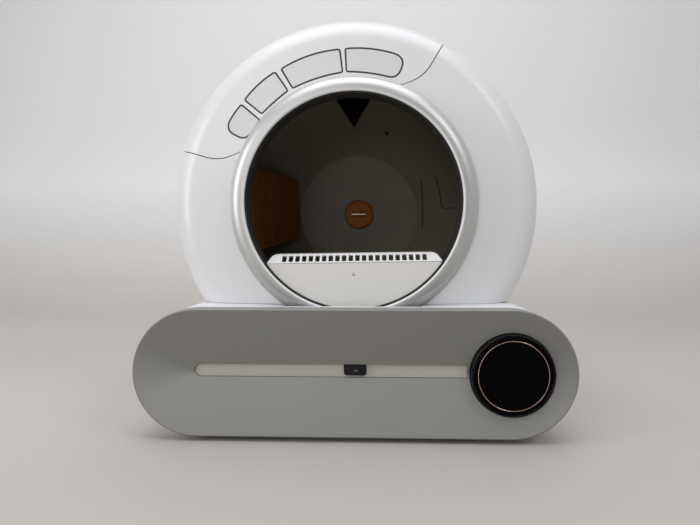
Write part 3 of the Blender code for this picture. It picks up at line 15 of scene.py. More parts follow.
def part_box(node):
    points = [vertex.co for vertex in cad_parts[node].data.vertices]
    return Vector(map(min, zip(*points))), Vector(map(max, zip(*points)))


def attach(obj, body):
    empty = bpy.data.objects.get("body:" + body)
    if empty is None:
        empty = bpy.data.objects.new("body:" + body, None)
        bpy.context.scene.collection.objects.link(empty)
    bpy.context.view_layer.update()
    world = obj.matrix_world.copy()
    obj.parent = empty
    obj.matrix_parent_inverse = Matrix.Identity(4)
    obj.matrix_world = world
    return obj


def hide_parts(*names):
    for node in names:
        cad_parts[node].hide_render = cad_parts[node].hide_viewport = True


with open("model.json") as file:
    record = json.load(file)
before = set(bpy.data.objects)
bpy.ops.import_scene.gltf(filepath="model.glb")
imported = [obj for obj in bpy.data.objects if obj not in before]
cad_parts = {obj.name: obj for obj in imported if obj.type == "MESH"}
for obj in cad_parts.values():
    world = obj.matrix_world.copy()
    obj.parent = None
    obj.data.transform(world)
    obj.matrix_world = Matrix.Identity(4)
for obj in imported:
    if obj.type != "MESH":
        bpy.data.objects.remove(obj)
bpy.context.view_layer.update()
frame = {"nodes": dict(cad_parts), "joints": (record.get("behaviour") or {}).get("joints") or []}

MM = 0.001

# Facets of the turned meshes, and the angle in degrees from which an edge is sharp
SHELL_FACETS = 192
RING_FACETS = 160
POD_FACETS = 128
HUB_FACETS = 96
SHARP_ANGLE = 30.0

# Camera of the photograph, fitted to its outlines. Its place has Y from the panel's face, and its turn is
# yaw, pitch and roll in degrees
IMAGE_WIDTH = 700
FOCAL_PX = 540.0
SENSOR_WIDTH = 36.0
CAMERA_PLACE = (0.0214, -0.6325, 0.2409)
CAMERA_TURN = (-2.17, -2.31, -0.08)


def span(node, axis):
    """The node's lowest and highest value along one axis."""
    low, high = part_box(node)
    return low["XYZ".index(axis)], high["XYZ".index(axis)]


AXIS_Z = Vector(next(joint["pos_m"] for joint in frame["joints"] if joint["name"] == "drum_spin")).z
AXIS = (0.0, AXIS_Z)
PANEL_Y = span("drawer_front", "Y")[0]


def show(thing):
    bpy.context.scene.collection.objects.link(thing)


def set_range(node, numbers):
    """Fills a Map Range node: from low and high, to start and end."""
    for socket, number in zip(("From Min", "From Max", "To Min", "To Max"), numbers):
        node.inputs[socket].default_value = number


# Materials: each is a Principled shader with its own colour variation, roughness and bump. Some carry painted
# shade: near-black copies for shadowed insides, and colours that change with height or with the way a face
# leans

# The Mix node's sockets that carry colours: two inputs and the output
COLOR_A, COLOR_B, COLOR_OUT = 6, 7, 2


class Surface:
    """One node material, built up from the Principled shader."""

    def __init__(self, name, color, roughness, metallic=0.0):
        self.material = bpy.data.materials.new(name)
        self.material.use_nodes = True
        self.tree = self.material.node_tree
        self.shader = self.tree.nodes["Principled BSDF"]
        self.roughness = roughness
        self.set(Base_Color=(*color, 1.0), Roughness=roughness, Metallic=metallic)

    def set(self, **values):
        """Sets shader sockets by name, with underscores for spaces."""
        for name, value in values.items():
            self.shader.inputs[name.replace("_", " ")].default_value = value

    def node(self, kind, **values):
        """A new shader node, with its properties and sockets set by name."""
        made = self.tree.nodes.new("ShaderNode" + kind)
        for name, value in values.items():
            if hasattr(made, name):
                setattr(made, name, value)
            else:
                made.inputs[name.replace("_", " ")].default_value = value
        return made

    def link(self, start, end):
        self.tree.links.new(start, end)

    def place(self):
        """Object coordinates in metres: every piece's origin is the frame's."""
        return self.node("TexCoord").outputs["Object"]

    def noise(self, scale, detail=3.0, stretch=None):
        place = self.place()
        if stretch:
            mapping = self.node("Mapping", Scale=stretch)
            self.link(place, mapping.inputs["Vector"])
            place = mapping.outputs["Vector"]
        texture = self.node("TexNoise", Scale=scale, Detail=detail, Roughness=0.5)
        self.link(place, texture.inputs["Vector"])
        return texture.outputs["Fac"]

    def remap(self, value, low, high, start=0.0, end=1.0):
        """Carries a value from one range to another, clamped."""
        node = self.node("MapRange", clamp=True)
        set_range(node, (low, high, start, end))
        self.link(value, node.inputs["Value"])
        return node.outputs["Result"]

    def upward(self, vector):
        """A vector's Z: a place's height, or how far a normal faces up."""
        split = self.node("SeparateXYZ")
        self.link(vector, split.inputs["Vector"])
        return split.outputs["Z"]

    def lean(self):
        return self.upward(self.node("NewGeometry").outputs["Normal"])

    def tint(self, factor, other):
        """Mixes the base colour towards another where the factor is high."""
        mix = self.node("Mix", data_type="RGBA")
        source = self.shader.inputs["Base Color"]
        if source.is_linked:
            self.link(source.links[0].from_socket, mix.inputs[COLOR_A])
        else:
            mix.inputs[COLOR_A].default_value = source.default_value
        mix.inputs[COLOR_B].default_value = (*other, 1.0)
        self.link(factor, mix.inputs["Factor"])
        self.link(mix.outputs[COLOR_OUT], source)

    def drift(self, other, scale, detail, low, high):
        """Lets the base colour drift to another in patches."""
        self.tint(self.remap(self.noise(scale, detail), low, high), other)

    def vary_roughness(self, factor, spread):
        low, high = self.roughness - spread, self.roughness + spread
        self.link(self.remap(factor, 0.3, 0.7, low, high), self.shader.inputs["Roughness"])

    def bump(self, factor, distance):
        node = self.node("Bump", Strength=1.0, Distance=distance)
        self.link(factor, node.inputs["Height"])
        self.link(node.outputs["Normal"], self.shader.inputs["Normal"])


# Moulded plastics: name, colour, roughness, the colour it drifts to, grain per metre, the grain's depth
# in mm, and how far the roughness varies

PLASTICS = {
    "white": ("white_gloss", (0.80, 0.805, 0.815), 0.34, (0.78, 0.785, 0.795), 900.0, 0.01, 0.03),
    "white_step": ("white_step", (0.91, 0.905, 0.90), 0.42, (0.89, 0.885, 0.875), 3200.0, 0.03),
    # painted shade: a near-black inside for the housing shells and cover, where there is only shadow
    "lining": ("shell_inside_painted_shade", (0.045, 0.045, 0.043), 0.70, (0.055, 0.055, 0.052), 1500.0, 0.05),
    # painted shade: a near-black copy of the drum plastic, for the drum's mouth, its ribs and the hollow under
    # the step
    "sleeve": ("near_black_painted_shade", (0.030, 0.028, 0.025), 0.60, (0.037, 0.035, 0.031), 2400.0, 0.02),
    "grey": ("grey_satin", (0.29, 0.29, 0.278), 0.52, (0.278, 0.278, 0.266), 3800.0, 0.035),
    "black": ("black_gloss", (0.004, 0.004, 0.004), 0.22, (0.006, 0.006, 0.006), 1200.0, 0.008, 0.04),
    "dark": ("drum_dark", (0.23, 0.20, 0.155), 0.42, (0.255, 0.224, 0.175), 2400.0, 0.02),
    "orange": ("sieve_orange", (0.30, 0.092, 0.013), 0.40, (0.25, 0.072, 0.010), 2600.0, 0.02),
    "cap": ("hub_orange", (0.40, 0.115, 0.006), 0.45, (0.34, 0.092, 0.004), 2600.0, 0.015),
    "grip": ("hub_grip", (0.42, 0.13, 0.010), 0.12, (0.38, 0.115, 0.008), 1400.0, 0.004, 0.02),
    "rubber": ("foot_rubber", (0.028, 0.028, 0.029), 0.80, (0.045, 0.044, 0.042), 1800.0, 0.08),
    "nylon": ("natural_nylon", (0.74, 0.71, 0.63), 0.40, (0.68, 0.65, 0.56), 2000.0, 0.02),
    "bin": ("bin_grey", (0.30, 0.31, 0.32), 0.48, (0.26, 0.27, 0.28), 2600.0, 0.03),
    "ink": ("outline_ink", (0.025, 0.025, 0.028), 0.50, (0.035, 0.035, 0.038), 1800.0, 0.01),
    "label": ("print_ground", (0.71, 0.725, 0.71), 0.45, (0.69, 0.705, 0.69), 1800.0, 0.01),
    "window": ("sensor_black", (0.009, 0.008, 0.012), 0.20, (0.012, 0.011, 0.015), 1400.0, 0.004, 0.03),
    "lens": ("sensor_lens", (0.085, 0.085, 0.12), 0.25, (0.06, 0.06, 0.09), 1400.0, 0.004),
}
SPECULAR = {"lining": 0.1, "black": 0.12, "window": 0.15, "dark": 0.15, "orange": 0.15, "cap": 0.15,
            "sleeve": 0.15, "grip": 1.0}


def moulded(name, color, roughness, shade, grain, depth, spread=0.05):
    """Moulded plastic: a slow drift of colour, a fine spark-eroded grain and slightly uneven gloss."""
    surface = Surface(name, color, roughness)
    surface.set(IOR=1.5, Coat_Roughness=0.12)
    surface.drift(shade, 9.0, 4.0, 0.35, 0.75)
    surface.vary_roughness(surface.noise(70.0, 5.0), spread)
    surface.bump(surface.noise(grain, 2.0), depth * MM)
    return surface


def make_materials():
    m = {key: moulded(*values) for key, values in PLASTICS.items()}
    for key, share in SPECULAR.items():
        m[key].set(Specular_IOR_Level=share)
    m["white"].set(Coat_Weight=0.15)
    m["grip"].set(Coat_Weight=0.6, Coat_Roughness=0.06)
    m["nylon"].set(Subsurface_Weight=0.15, Subsurface_Scale=1.5 * MM)
    step, grey = m["white_step"], m["grey"]
    # Painted light and shade by slope: the step's plastic stays light where a face looks up and turns darker
    # where it doesn't
    step.tint(step.remap(step.lean(), 0.3, 0.05), (0.75, 0.735, 0.70))
    # Painted shade by slope: the drawer front's grey, which the drawer frame shares, turns darker where a face
    # looks down
    grey.tint(grey.remap(grey.lean(), 0.03, -0.03), (0.178, 0.173, 0.155))

    pearl = Surface("pearl_silver", (0.60, 0.60, 0.585), 0.40, 0.65)
    pearl.set(Coat_Weight=0.1, Coat_Roughness=0.2)
    pearl.drift((0.66, 0.66, 0.64), 5200.0, 1.0, 0.52, 0.66)
    # Painted shade and reflection: the ring turns darker towards its foot, by height
    height = pearl.upward(pearl.place())
    pearl.tint(pearl.remap(height, AXIS_Z - 20.0 * MM, AXIS_Z - 140.0 * MM), (0.40, 0.40, 0.39))
    pearl.vary_roughness(pearl.noise(30.0, 2.0), 0.02)
    pearl.bump(pearl.noise(5200.0, 1.0), 0.006 * MM)

    steel = Surface("brushed_steel", (0.56, 0.56, 0.55), 0.32, 1.0)
    brushed = steel.noise(40.0, 6.0, stretch=(60.0, 1.0, 1.0))
    steel.vary_roughness(brushed, 0.08)
    steel.bump(brushed, 0.02 * MM)
    steel.drift((0.44, 0.43, 0.41), 22.0, 5.0, 0.5, 0.8)

    copper = Surface("copper_line", (0.76, 0.53, 0.39), 0.28, 1.0)
    copper.drift((0.66, 0.44, 0.31), 30.0, 4.0, 0.4, 0.7)
    copper.vary_roughness(copper.noise(200.0, 3.0), 0.05)

    glass = Surface("touch_glass", (0.0006, 0.0006, 0.0007), 0.05)
    glass.set(IOR=1.52, Specular_IOR_Level=0.04)
    smear = glass.noise(55.0, 5.0, stretch=(1.0, 1.0, 2.2))
    glass.link(glass.remap(smear, 0.45, 0.75, 0.04, 0.13), glass.shader.inputs["Roughness"])

    board = Surface("board_green", (0.02, 0.12, 0.05), 0.38)
    traces = board.node("TexBrick", Scale=140.0, offset=0.5)
    board.link(board.place(), traces.inputs["Vector"])
    board.tint(traces.outputs["Fac"], (0.05, 0.22, 0.10))
    board.bump(board.noise(900.0), 0.02 * MM)

    strip = Surface("light_strip", (0.44, 0.425, 0.375), 0.42)
    strip.set(Subsurface_Weight=0.2, Subsurface_Scale=1.5 * MM)
    strip.drift((0.415, 0.40, 0.35), 14.0, 4.0, 0.3, 0.8)
    strip.bump(strip.noise(2600.0, 2.0), 0.02 * MM)
    m.update(pearl=pearl, steel=steel, copper=copper, glass=glass, board=board, strip=strip)
    return {key: surface.material for key, surface in m.items()}


# Shapes: a depth is measured back from the panel's face, and made() sets the mesh in the frame's place


def around(radius, angle):
    """A place (x, z) at a radius and an angle in degrees about the drum's axis."""
    return radius * cos(radians(angle)), AXIS_Z + radius * sin(radians(angle))


def rectangle(left, low, right, high):
    return [(left, low), (right, low), (right, high), (left, high)]


def circle(center, radius, start, end, steps):
    """Points from one angle to another, in degrees, both ends included."""
    turns = [radians(start + (end - start) * step / steps) for step in range(steps + 1)]
    return [(center[0] + radius * cos(turn), center[1] + radius * sin(turn)) for turn in turns]


def bend(center, reach, length, start, end, steps=20):
    """Points (radius, depth) on a quarter ellipse between a face and a barrel."""
    turns = [radians(start + (end - start) * step / steps) for step in range(steps + 1)]
    return [(center[0] + reach * sin(turn), center[1] - length * cos(turn)) for turn in turns]


# The flattest corner that is rounded, in radians, and the most of an edge that a rounding takes up
FLAT_CORNER = 0.01
EDGE_SHARE = 0.48


def rounded(points, radii, steps):
    """A closed outline with its corners rounded: one radius for all, or one for each corner."""
    if isinstance(radii, (int, float)):
        radii = [radii] * len(points)
    result = []
    for index, radius in enumerate(radii):
        before, corner, after = (Vector(points[(index + shift) % len(points)]) for shift in (-1, 0, 1))
        back, ahead = (before - corner), (after - corner)
        half = back.angle(ahead, 0.0) / 2 if back.length and ahead.length else 0.0
        if radius <= 0 or half < FLAT_CORNER or half > pi / 2 - FLAT_CORNER:
            result.append(tuple(corner))
            continue
        reach = min(radius / tan(half), back.length * EDGE_SHARE, ahead.length * EDGE_SHARE)
        first, last = corner + back.normalized() * reach, corner + ahead.normalized() * reach
        for step in range(steps + 1):
            share = step / steps
            near = first.lerp(corner, share)
            far = corner.lerp(last, share)
            result.append(tuple(near.lerp(far, share)))
    return result


def filleted(corners, steps):
    """A closed outline from corners (a, b, round in mm)."""
    return rounded([(a, b) for a, b, _ in corners], [radius * MM for _, _, radius in corners], steps)


def resampled(path, count):
    """The same number of points on two outlines: the longer one loses its surplus evenly."""
    return [path[int(index * len(path) / count)] for index in range(count)]


def bridge(shape, near, far):
    """Faces in a closed band between two rows of vertices. A vertex that both rows share counts once."""
    for index in range(len(near)):
        following = (index + 1) % len(near)
        corners = list(dict.fromkeys((near[index], near[following], far[following], far[index])))
        if len(corners) > 2:
            shape.faces.new(corners)


def lathe(profile, facets=RING_FACETS, start=0.0, sweep=360.0, center=AXIS):
    """Turns a closed (radius, depth) profile about an axis along Y through center, given as (x, z)."""
    shape = bmesh.new()
    whole = sweep >= 360.0
    steps = facets if whole else max(2, round(facets * sweep / 360.0))
    rows = []
    for step in range(steps if whole else steps + 1):
        angle = radians(start + sweep * step / steps)
        rows.append([
            rows[0][index] if radius == 0 and rows
            else shape.verts.new((center[0] + radius * cos(angle), y, center[1] + radius * sin(angle)))
            for index, (radius, y) in enumerate(profile)
        ])
    for near, far in zip(rows, rows[1:] + (rows[:1] if whole else [])):
        bridge(shape, near, far)
    if not whole:
        shape.faces.new(rows[0])
        shape.faces.new(rows[-1])
    return shape


def skin(loops, cap_first=True, cap_last=True):
    """A solid through closed loops of the same number of points."""
    shape = bmesh.new()
    rows = [[shape.verts.new(point) for point in loop] for loop in loops]
    for near, far in zip(rows, rows[1:]):
        bridge(shape, near, far)
    if cap_first:
        shape.faces.new(rows[0][::-1])
    if cap_last:
        shape.faces.new(rows[-1])
    return shape


def slab(outline, near, far, axis="Y"):
    """A closed (a, b) outline drawn out along an axis: (x, z) along Y, (x, y) along Z, (y, z) along X."""
    order = {"Y": (0, 2, 1), "Z": (0, 1, 2), "X": (2, 0, 1)}[axis]
    return skin([[[(*spot, level)[index] for index in order] for spot in outline] for level in (near, far)])


def combined(shapes):
    total = bmesh.new()
    for shape in shapes:
        mesh = bpy.data.meshes.new("combined")
        shape.to_mesh(mesh)
        shape.free()
        total.from_mesh(mesh)
        bpy.data.meshes.remove(mesh)
    return total


def made(name, shape, material, smooth=SHARP_ANGLE):
    """An object from a shape, set back to the panel's face."""
    bmesh.ops.recalc_face_normals(shape, faces=shape.faces)
    bmesh.ops.translate(shape, verts=shape.verts, vec=(0.0, PANEL_Y, 0.0))
    mesh = bpy.data.meshes.new(name)
    shape.to_mesh(mesh)
    shape.free()
    mesh.shade_smooth()
    mesh.set_sharp_from_angle(angle=radians(smooth))
    piece = bpy.data.objects.new(name, mesh)
    if material:
        mesh.materials.append(material)
    show(piece)
    return piece


def modify(piece, kind, **values):
    modifier = piece.modifiers.new(kind.lower(), kind)
    for name, value in values.items():
        setattr(modifier, name, value)


def boolean(piece, shape, operation="DIFFERENCE", smooth=SHARP_ANGLE):
    """Cuts, keeps or adds a shape at once."""
    helper = made("helper", shape, None)
    modify(piece, "BOOLEAN", operation=operation, object=helper, solver="EXACT")
    graph = bpy.context.evaluated_depsgraph_get()
    result = bpy.data.meshes.new_from_object(piece.evaluated_get(graph))
    piece.modifiers.clear()
    old, piece.data = piece.data, result
    bpy.data.meshes.remove(old)
    bpy.data.objects.remove(helper)
    piece.data.shade_smooth()
    piece.data.set_sharp_from_angle(angle=radians(smooth))


def soften(piece, width, segments=2, angle=SHARP_ANGLE):
    """Rounds the piece's sharp edges, and keeps its broad faces flat in the shading."""
    modify(piece, "BEVEL", width=width, segments=segments, limit_method="ANGLE", angle_limit=radians(angle),
           harden_normals=True, use_clamp_overlap=True)


def give_second_material(piece, material, chosen):
    """Gives the faces that are chosen, by their centre and normal, a second material."""
    piece.data.materials.append(material)
    for face in piece.data.polygons:
        face.material_index = int(chosen(*face.center, face.normal))


# Least share of a face's normal that counts as facing the axis, and as facing some other way
FACES_IN = 0.1
FACES = 0.5


def shade_inside(piece, material, side, nearest=0.0):
    """Gives a shell's inside a dark material of its own, as painted shade: the faces that look to one side
    along Y, or in at the axis from beyond a radius."""
    def inside(x, _, z, normal):
        reach = hypot(x, z - AXIS_Z)
        inward = -(x * normal.x + (z - AXIS_Z) * normal.z)
        return normal.y * side > FACES or reach > nearest and inward > FACES_IN * reach

    give_second_material(piece, material, inside)


def placed(piece, body, slot, *nodes):
    """Puts a piece on its body, in place of CAD nodes if any are named. The slot is not used."""
    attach(piece, body)
    if nodes:
        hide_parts(*nodes)


# Sizes shared with the CAD model. A depth is measured back from the panel's face, as in made()

HOUSING_RADIUS = span("housing_rear", "X")[1]
HOUSING_REAR = span("housing_rear", "Y")[1] - PANEL_Y
HOUSING_SPLIT = HOUSING_REAR - 156.0 * MM
BASE_TOP = span("base_cover", "Z")[1]
BASE_LOW = span("drawer_front", "Z")[0]
BASE_HALF = (BASE_TOP - BASE_LOW) / 2
BASE_MID = BASE_LOW + BASE_HALF
BASE_WIDTH = 2 * span("base_cover", "X")[1]
BASE_END = BASE_WIDTH / 2 - BASE_HALF
POD_CENTER = (BASE_END, BASE_MID)
RING_OUTER = 157.2 * MM
RING_INNER = 135.0 * MM
DRUM_RADIUS = 202.5 * MM
DRUM_WALL = 2.5 * MM
CASE_WALL = 2.8 * MM
SEAT_GAP = 0.3 * MM
SEAM_GAP = 1.1 * MM
OVERRUN = 20.0 * MM


# Shell: the two halves of the housing, the lift-off cover and the entry ring

FACE_SLOPE = 0.179
FACE_BEND_RADIUS = 203.0 * MM
FACE_BEND_REAR = 116.0 * MM
FACE_BEND_LENGTH = 56.0 * MM
FACE_BEND_START = 8.0
BACK_BEND_REACH = 50.0 * MM
BACK_BEND_LENGTH = 42.0 * MM
BACK_RECESS_RADIUS = 120.0 * MM
BACK_RECESS_DEPTH = 3.0 * MM
COVER_RIGHT = 60.7
COVER_LEFT = 162.5
COVER_RIGHT_BEND = 22.7
COVER_LEFT_BEND = -21.2
COVER_BEND_RADIUS = 205.0 * MM
COVER_BEND_POWER = 2.87
COVER_DEPTH = HOUSING_REAR - BACK_BEND_LENGTH - 12.0 * MM
COLLAR_RADIUS = 164.2 * MM
COLLAR_WALL = 2.5 * MM
CRADLE_FRONT = 73.5 * MM
EDGE_ROUND = 0.45 * MM
SEAM_STEPS = 18
CROWN_STEPS = 40
COVER_NEAR_STEPS = 24


def face_bend(inset):
    """The bend from the housing's coned face to its barrel."""
    return bend((FACE_BEND_RADIUS, FACE_BEND_REAR), HOUSING_RADIUS - FACE_BEND_RADIUS - inset,
                FACE_BEND_LENGTH - inset, FACE_BEND_START, 90.0)


def face_depth(radius, inset=0.0):
    """How far back the housing's coned face lies at a radius."""
    start = face_bend(inset)[0]
    return start[1] - (start[0] - radius) * FACE_SLOPE


def front_profile(inset, rear):
    edge = RING_OUTER + SEAT_GAP
    return [(edge, face_depth(edge, inset))] + face_bend(inset) + [(HOUSING_RADIUS - inset, rear)]


def back_profile(inset, front):
    radius = HOUSING_RADIUS - BACK_BEND_REACH
    curve = bend((radius, HOUSING_REAR - BACK_BEND_LENGTH), BACK_BEND_REACH - inset,
                 inset - BACK_BEND_LENGTH, 90.0, 0.0)
    recess = HOUSING_REAR - BACK_RECESS_DEPTH - inset
    edge = BACK_RECESS_RADIUS + inset
    return [(HOUSING_RADIUS - inset, front)] + curve + [
        (edge + BACK_RECESS_DEPTH, HOUSING_REAR - inset), (edge, recess), (0.0, recess)]


def walled(profile, edge):
    """A shell's outer profile and, back along it, its inner one."""
    return profile(0.0, edge) + profile(CASE_WALL, edge)[::-1]


def cover_sector(gap):
    """The top cover's outline as (x, z): both seams bend near the ring."""
    far = HOUSING_RADIUS + OVERRUN
    spots = [(far, 0.0)]
    for share in (step / SEAM_STEPS for step in range(SEAM_STEPS + 1)):
        spots.append((COVER_BEND_RADIUS + (RING_INNER - COVER_BEND_RADIUS) * share, share**COVER_BEND_POWER))
    right = [(radius, COVER_RIGHT + COVER_RIGHT_BEND * bent + degrees(gap / radius)) for radius, bent in spots]
    left = [(radius, COVER_LEFT + COVER_LEFT_BEND * bent - degrees(gap / radius)) for radius, bent in spots]
    crown = circle(AXIS, far, left[0][1], right[0][1], CROWN_STEPS)[1:-1]
    near = circle(AXIS, RING_INNER, right[-1][1], left[-1][1], COVER_NEAR_STEPS)[1:-1]
    return [around(*spot) for spot in right] + near + [around(*spot) for spot in left[::-1]] + crown


def make_housing(m):
    def finish_shell(piece, side, body, node, nearest=0.0):
        # Painted shade: the shell's inside turns near-black, for the shadow inside the housing
        shade_inside(piece, m["lining"], side, nearest)
        soften(piece, EDGE_ROUND)
        placed(piece, body, "white_plastic", node)

    front_wall = walled(front_profile, HOUSING_SPLIT - SEAM_GAP / 2)
    rear_wall = walled(back_profile, HOUSING_SPLIT + SEAM_GAP / 2)
    collar_front = face_depth(COLLAR_RADIUS) + CASE_WALL / 2 + CASE_WALL
    collar = rectangle(COLLAR_RADIUS, collar_front, COLLAR_RADIUS + COLLAR_WALL, CRADLE_FRONT)
    below_deck = rectangle(-BASE_WIDTH, -OVERRUN, BASE_WIDTH, BASE_TOP + SEAT_GAP)
    front = made("housing_face", lathe(front_wall, SHELL_FACETS), m["white"])
    tube = made("housing_collar", lathe(collar), m["white"])
    rear = made("housing_back", lathe(rear_wall, SHELL_FACETS), m["white"])
    for shell in (front, rear):
        boolean(shell, slab(cover_sector(-SEAM_GAP), -OVERRUN, COVER_DEPTH + SEAM_GAP))
    for shell in (front, tube, rear):
        boolean(shell, slab(below_deck, -OVERRUN, HOUSING_REAR + OVERRUN))
    finish_shell(front, 1, "base", "housing_front")
    soften(tube, EDGE_ROUND)
    placed(tube, "base", "white_plastic")
    finish_shell(rear, -1, "base", "housing_rear", BACK_RECESS_RADIUS + OVERRUN)

    cover = made("lift_off_cover", lathe(walled(front_profile, COVER_DEPTH), SHELL_FACETS), m["white"])
    boolean(cover, slab(cover_sector(0.0), -OVERRUN, COVER_DEPTH - SEAM_GAP), "INTERSECT")
    finish_shell(cover, 1, "cover", "top_cover")


RING_FRONT = 32.0 * MM
RING_RISE = 17.5 * MM
RING_CREST = 137.5 * MM
RING_SLOPE_END = 78.0
RING_LIP_DEPTH = 2.5 * MM
RING_REAR = 60.0 * MM
RING_WALL = 2.2 * MM
RING_BORE = RING_INNER + RING_WALL
RING_FLANGE = 8.0 * MM
RING_FLANGE_WALL = 2.5 * MM
RING_FLANGE_OPEN = 96.0
RING_STEPS = 24
LIP_STEPS = 12
LIP_WIDTH = RING_CREST - RING_INNER - 0.4 * MM


def make_ring(m):
    """The pearl ring: a narrow lip round the entrance, and a crown that falls to the housing's face."""
    lip_rear = RING_FRONT + RING_LIP_DEPTH
    inner = bend((RING_CREST, lip_rear), RING_INNER - RING_CREST, RING_LIP_DEPTH, 90.0, 0.0, LIP_STEPS)
    end = radians(RING_SLOPE_END)
    turns = [end * step / RING_STEPS for step in range(1, RING_STEPS + 1)]
    outer = [(RING_CREST + (RING_OUTER - RING_CREST) * sin(turn) / sin(end),
              RING_FRONT + RING_RISE * (1 - cos(turn)) / (1 - cos(end))) for turn in turns]
    flange_front = face_depth(RING_OUTER) + CASE_WALL + RING_FLANGE * FACE_SLOPE + 2 * SEAT_GAP
    flange_rear = flange_front + RING_FLANGE_WALL
    flange, sleeve = RING_OUTER + RING_FLANGE, RING_BORE + RING_WALL
    back = [(RING_OUTER, flange_front), (flange, flange_front), (flange, flange_rear), (sleeve, flange_rear),
            (sleeve, RING_REAR), (RING_BORE, RING_REAR), (RING_BORE, lip_rear)]
    ring = made("entrance_ring", lathe(inner + outer + back), m["pearl"])
    give_second_material(ring, m["white"], lambda x, y, z, _: (
        y < PANEL_Y + lip_rear and hypot(x, z - AXIS_Z) < RING_INNER + LIP_WIDTH))
    gap = rectangle(RING_OUTER, flange_front - SEAT_GAP, flange + OVERRUN, flange_rear + OVERRUN)
    boolean(ring, lathe(gap, RING_FACETS, -90.0 - RING_FLANGE_OPEN / 2, RING_FLANGE_OPEN))
    placed(ring, "base", "pearl_silver", "entry_ring")


# Blank outlined cells printed on the face above the ring: first and last angle, inner and outer radius
# in mm at both, how far the outer side is turned, and the corner rounds in mm, all from the right end

CELLS = (
    (69.9, 93.4, (161.8, 162.8), (194.2, 195.2), 0.0, (15.0, 15.0, 4.0, 4.0)),
    (94.4, 118.4, (162.4, 161.8), (195.0, 193.8), 0.4, (4.0, 4.0, 4.0, 4.0)),
    (120.0, 136.3, (162.2, 160.2), (194.8, 191.9), 0.7, (4.0, 4.0, 4.0, 4.0)),
    (138.2, 150.4, (156.5, 156.5), (191.3, 189.5), 0.2, (3.0, 4.0, 14.0, 14.0)),
)
CELL_BULGE = 0.9 * MM
CELL_LINE = 2.2 * MM
CELL_HEIGHT = 0.08 * MM
CELL_PITCH = 4.0 * MM
CELL_LEAST_ROUND = 0.5 * MM
CELL_WELD = 0.001 * MM


def cell_path(first, last, inner, outer, skew, corners, inset):
    """A cell's rounded outline as (radius, angle), drawn in by an inset."""
    low, high = sum(inner) / 2 * MM, sum(outer) / 2 * MM
    middle = (low + high) / 2
    half = radians(last - first) / 2 * middle
    side, base, top = half - inset, low + inset, high - inset
    box = [(-side, base), (-side, top), (side, top), (side, base)]
    outline = rounded(box, [max(radius * MM - inset, CELL_LEAST_ROUND) for radius in corners], 8)
    spots = []
    for (x0, y0), (x1, y1) in zip(outline, outline[1:] + outline[:1]):
        parts = max(1, round(hypot(x1 - x0, y1 - y0) / CELL_PITCH))
        for share in (part / parts for part in range(parts)):
            across, radius = x0 + (x1 - x0) * share, y0 + (y1 - y0) * share
            along = across / half
            rise = (radius - low) / (high - low)
            tilt = (inner[1] - inner[0]) * (1 - rise) + (outer[1] - outer[0]) * rise
            angle = (first + last) / 2 + degrees(across / middle) + skew * rise
            radius += tilt * MM * along / 2 + CELL_BULGE * (2 * rise - 1) * (1 - along**2)
            spots.append((radius, angle))
    return spots


def on_face(path, lift):
    spots = [(radius, *around(radius, angle)) for radius, angle in path]
    return [(x, face_depth(radius) - lift, z) for radius, x, z in spots]


def make_cells(m):
    lines, fields = [], []
    for cell in CELLS:
        outer, inner = cell_path(*cell, 0.0), cell_path(*cell, CELL_LINE)
        count = min(len(outer), len(inner))
        outer, inner = resampled(outer, count), resampled(inner, count)
        loops = [on_face(outer, -CELL_HEIGHT), on_face(outer, CELL_HEIGHT), on_face(inner, CELL_HEIGHT),
                 on_face(inner, -CELL_HEIGHT)]
        line = skin(loops + loops[:1], False, False)
        bmesh.ops.remove_doubles(line, verts=line.verts, dist=CELL_WELD)
        lines.append(line)
        fields.append(slab([around(*spot) for spot in inner], 0.0, HOUSING_SPLIT))
    outlines = made("face_outlines", combined(lines), m["ink"])
    placed(outlines, "cover", "black_plastic")
    near, far = RING_OUTER + SEAT_GAP, FACE_BEND_RADIUS - SEAT_GAP
    low, high = (face_depth(radius) - CELL_HEIGHT / 2 for radius in (near, far))
    ground = [(near, low), (far, high), (far, high + CELL_HEIGHT), (near, low + CELL_HEIGHT)]
    cells = made("face_cells", lathe(ground, SHELL_FACETS), m["label"])
    boolean(cells, combined(fields), "INTERSECT")
    placed(cells, "cover", "white_plastic")


# Base: the white shells, the dished drawer front with its light strip, and the control pod

STADIUM_STEPS = 36
FRONT_THICKNESS = 20.0 * MM
FRONT_DISH = 4.5 * MM
FRONT_ROUND = 1.4 * MM
FRONT_ROUND_STEPS = 8
DISH_RIDGE = 0.05
DISH_SHARES = (0.01, 0.15, 0.3, 0.45, 0.6, 0.72, 0.82, 0.9, 0.95, 0.975)
PANEL_SMOOTH = 40.0
PANEL_SOFT = 0.35 * MM
STRIP_LOW = 78.0 * MM
STRIP_HIGH = 93.6 * MM
STRIP_LEFT = 75.0 * MM - BASE_WIDTH / 2
STRIP_DEPTH = 3.5 * MM
STRIP_TO_POD = 3.0 * MM
STRIP_SOFT = 0.4 * MM
STRIP_STEPS = 20
SENSOR_X = 3.2 * MM
SENSOR_HALF = 13.0 * MM
SENSOR_HEIGHT = 13.0 * MM
SENSOR_SOFT = 0.5 * MM
LENS_CENTER = (SENSOR_X + 1.0 * MM, STRIP_HIGH - SENSOR_HEIGHT / 2 - 0.4 * MM)
LENS_HALF = (2.6 * MM, 0.9 * MM)
LENS_ROUND = 0.85 * MM
LENS_PROUD = 0.12 * MM
LENS_DEPTH = 0.5 * MM
POD_RADIUS = 49.0 * MM
POD_GAP = 1.0 * MM
POD_PROUD = 5.0 * MM
POD_REAR = 58.0 * MM
POD_ROUND = 2.0 * MM
POD_WALL = 2.5 * MM
POD_SMOOTH = 35.0
GLASS_RADIUS = 45.5 * MM
GLASS_THICKNESS = 1.8 * MM
GLASS_BEVEL = 0.5 * MM
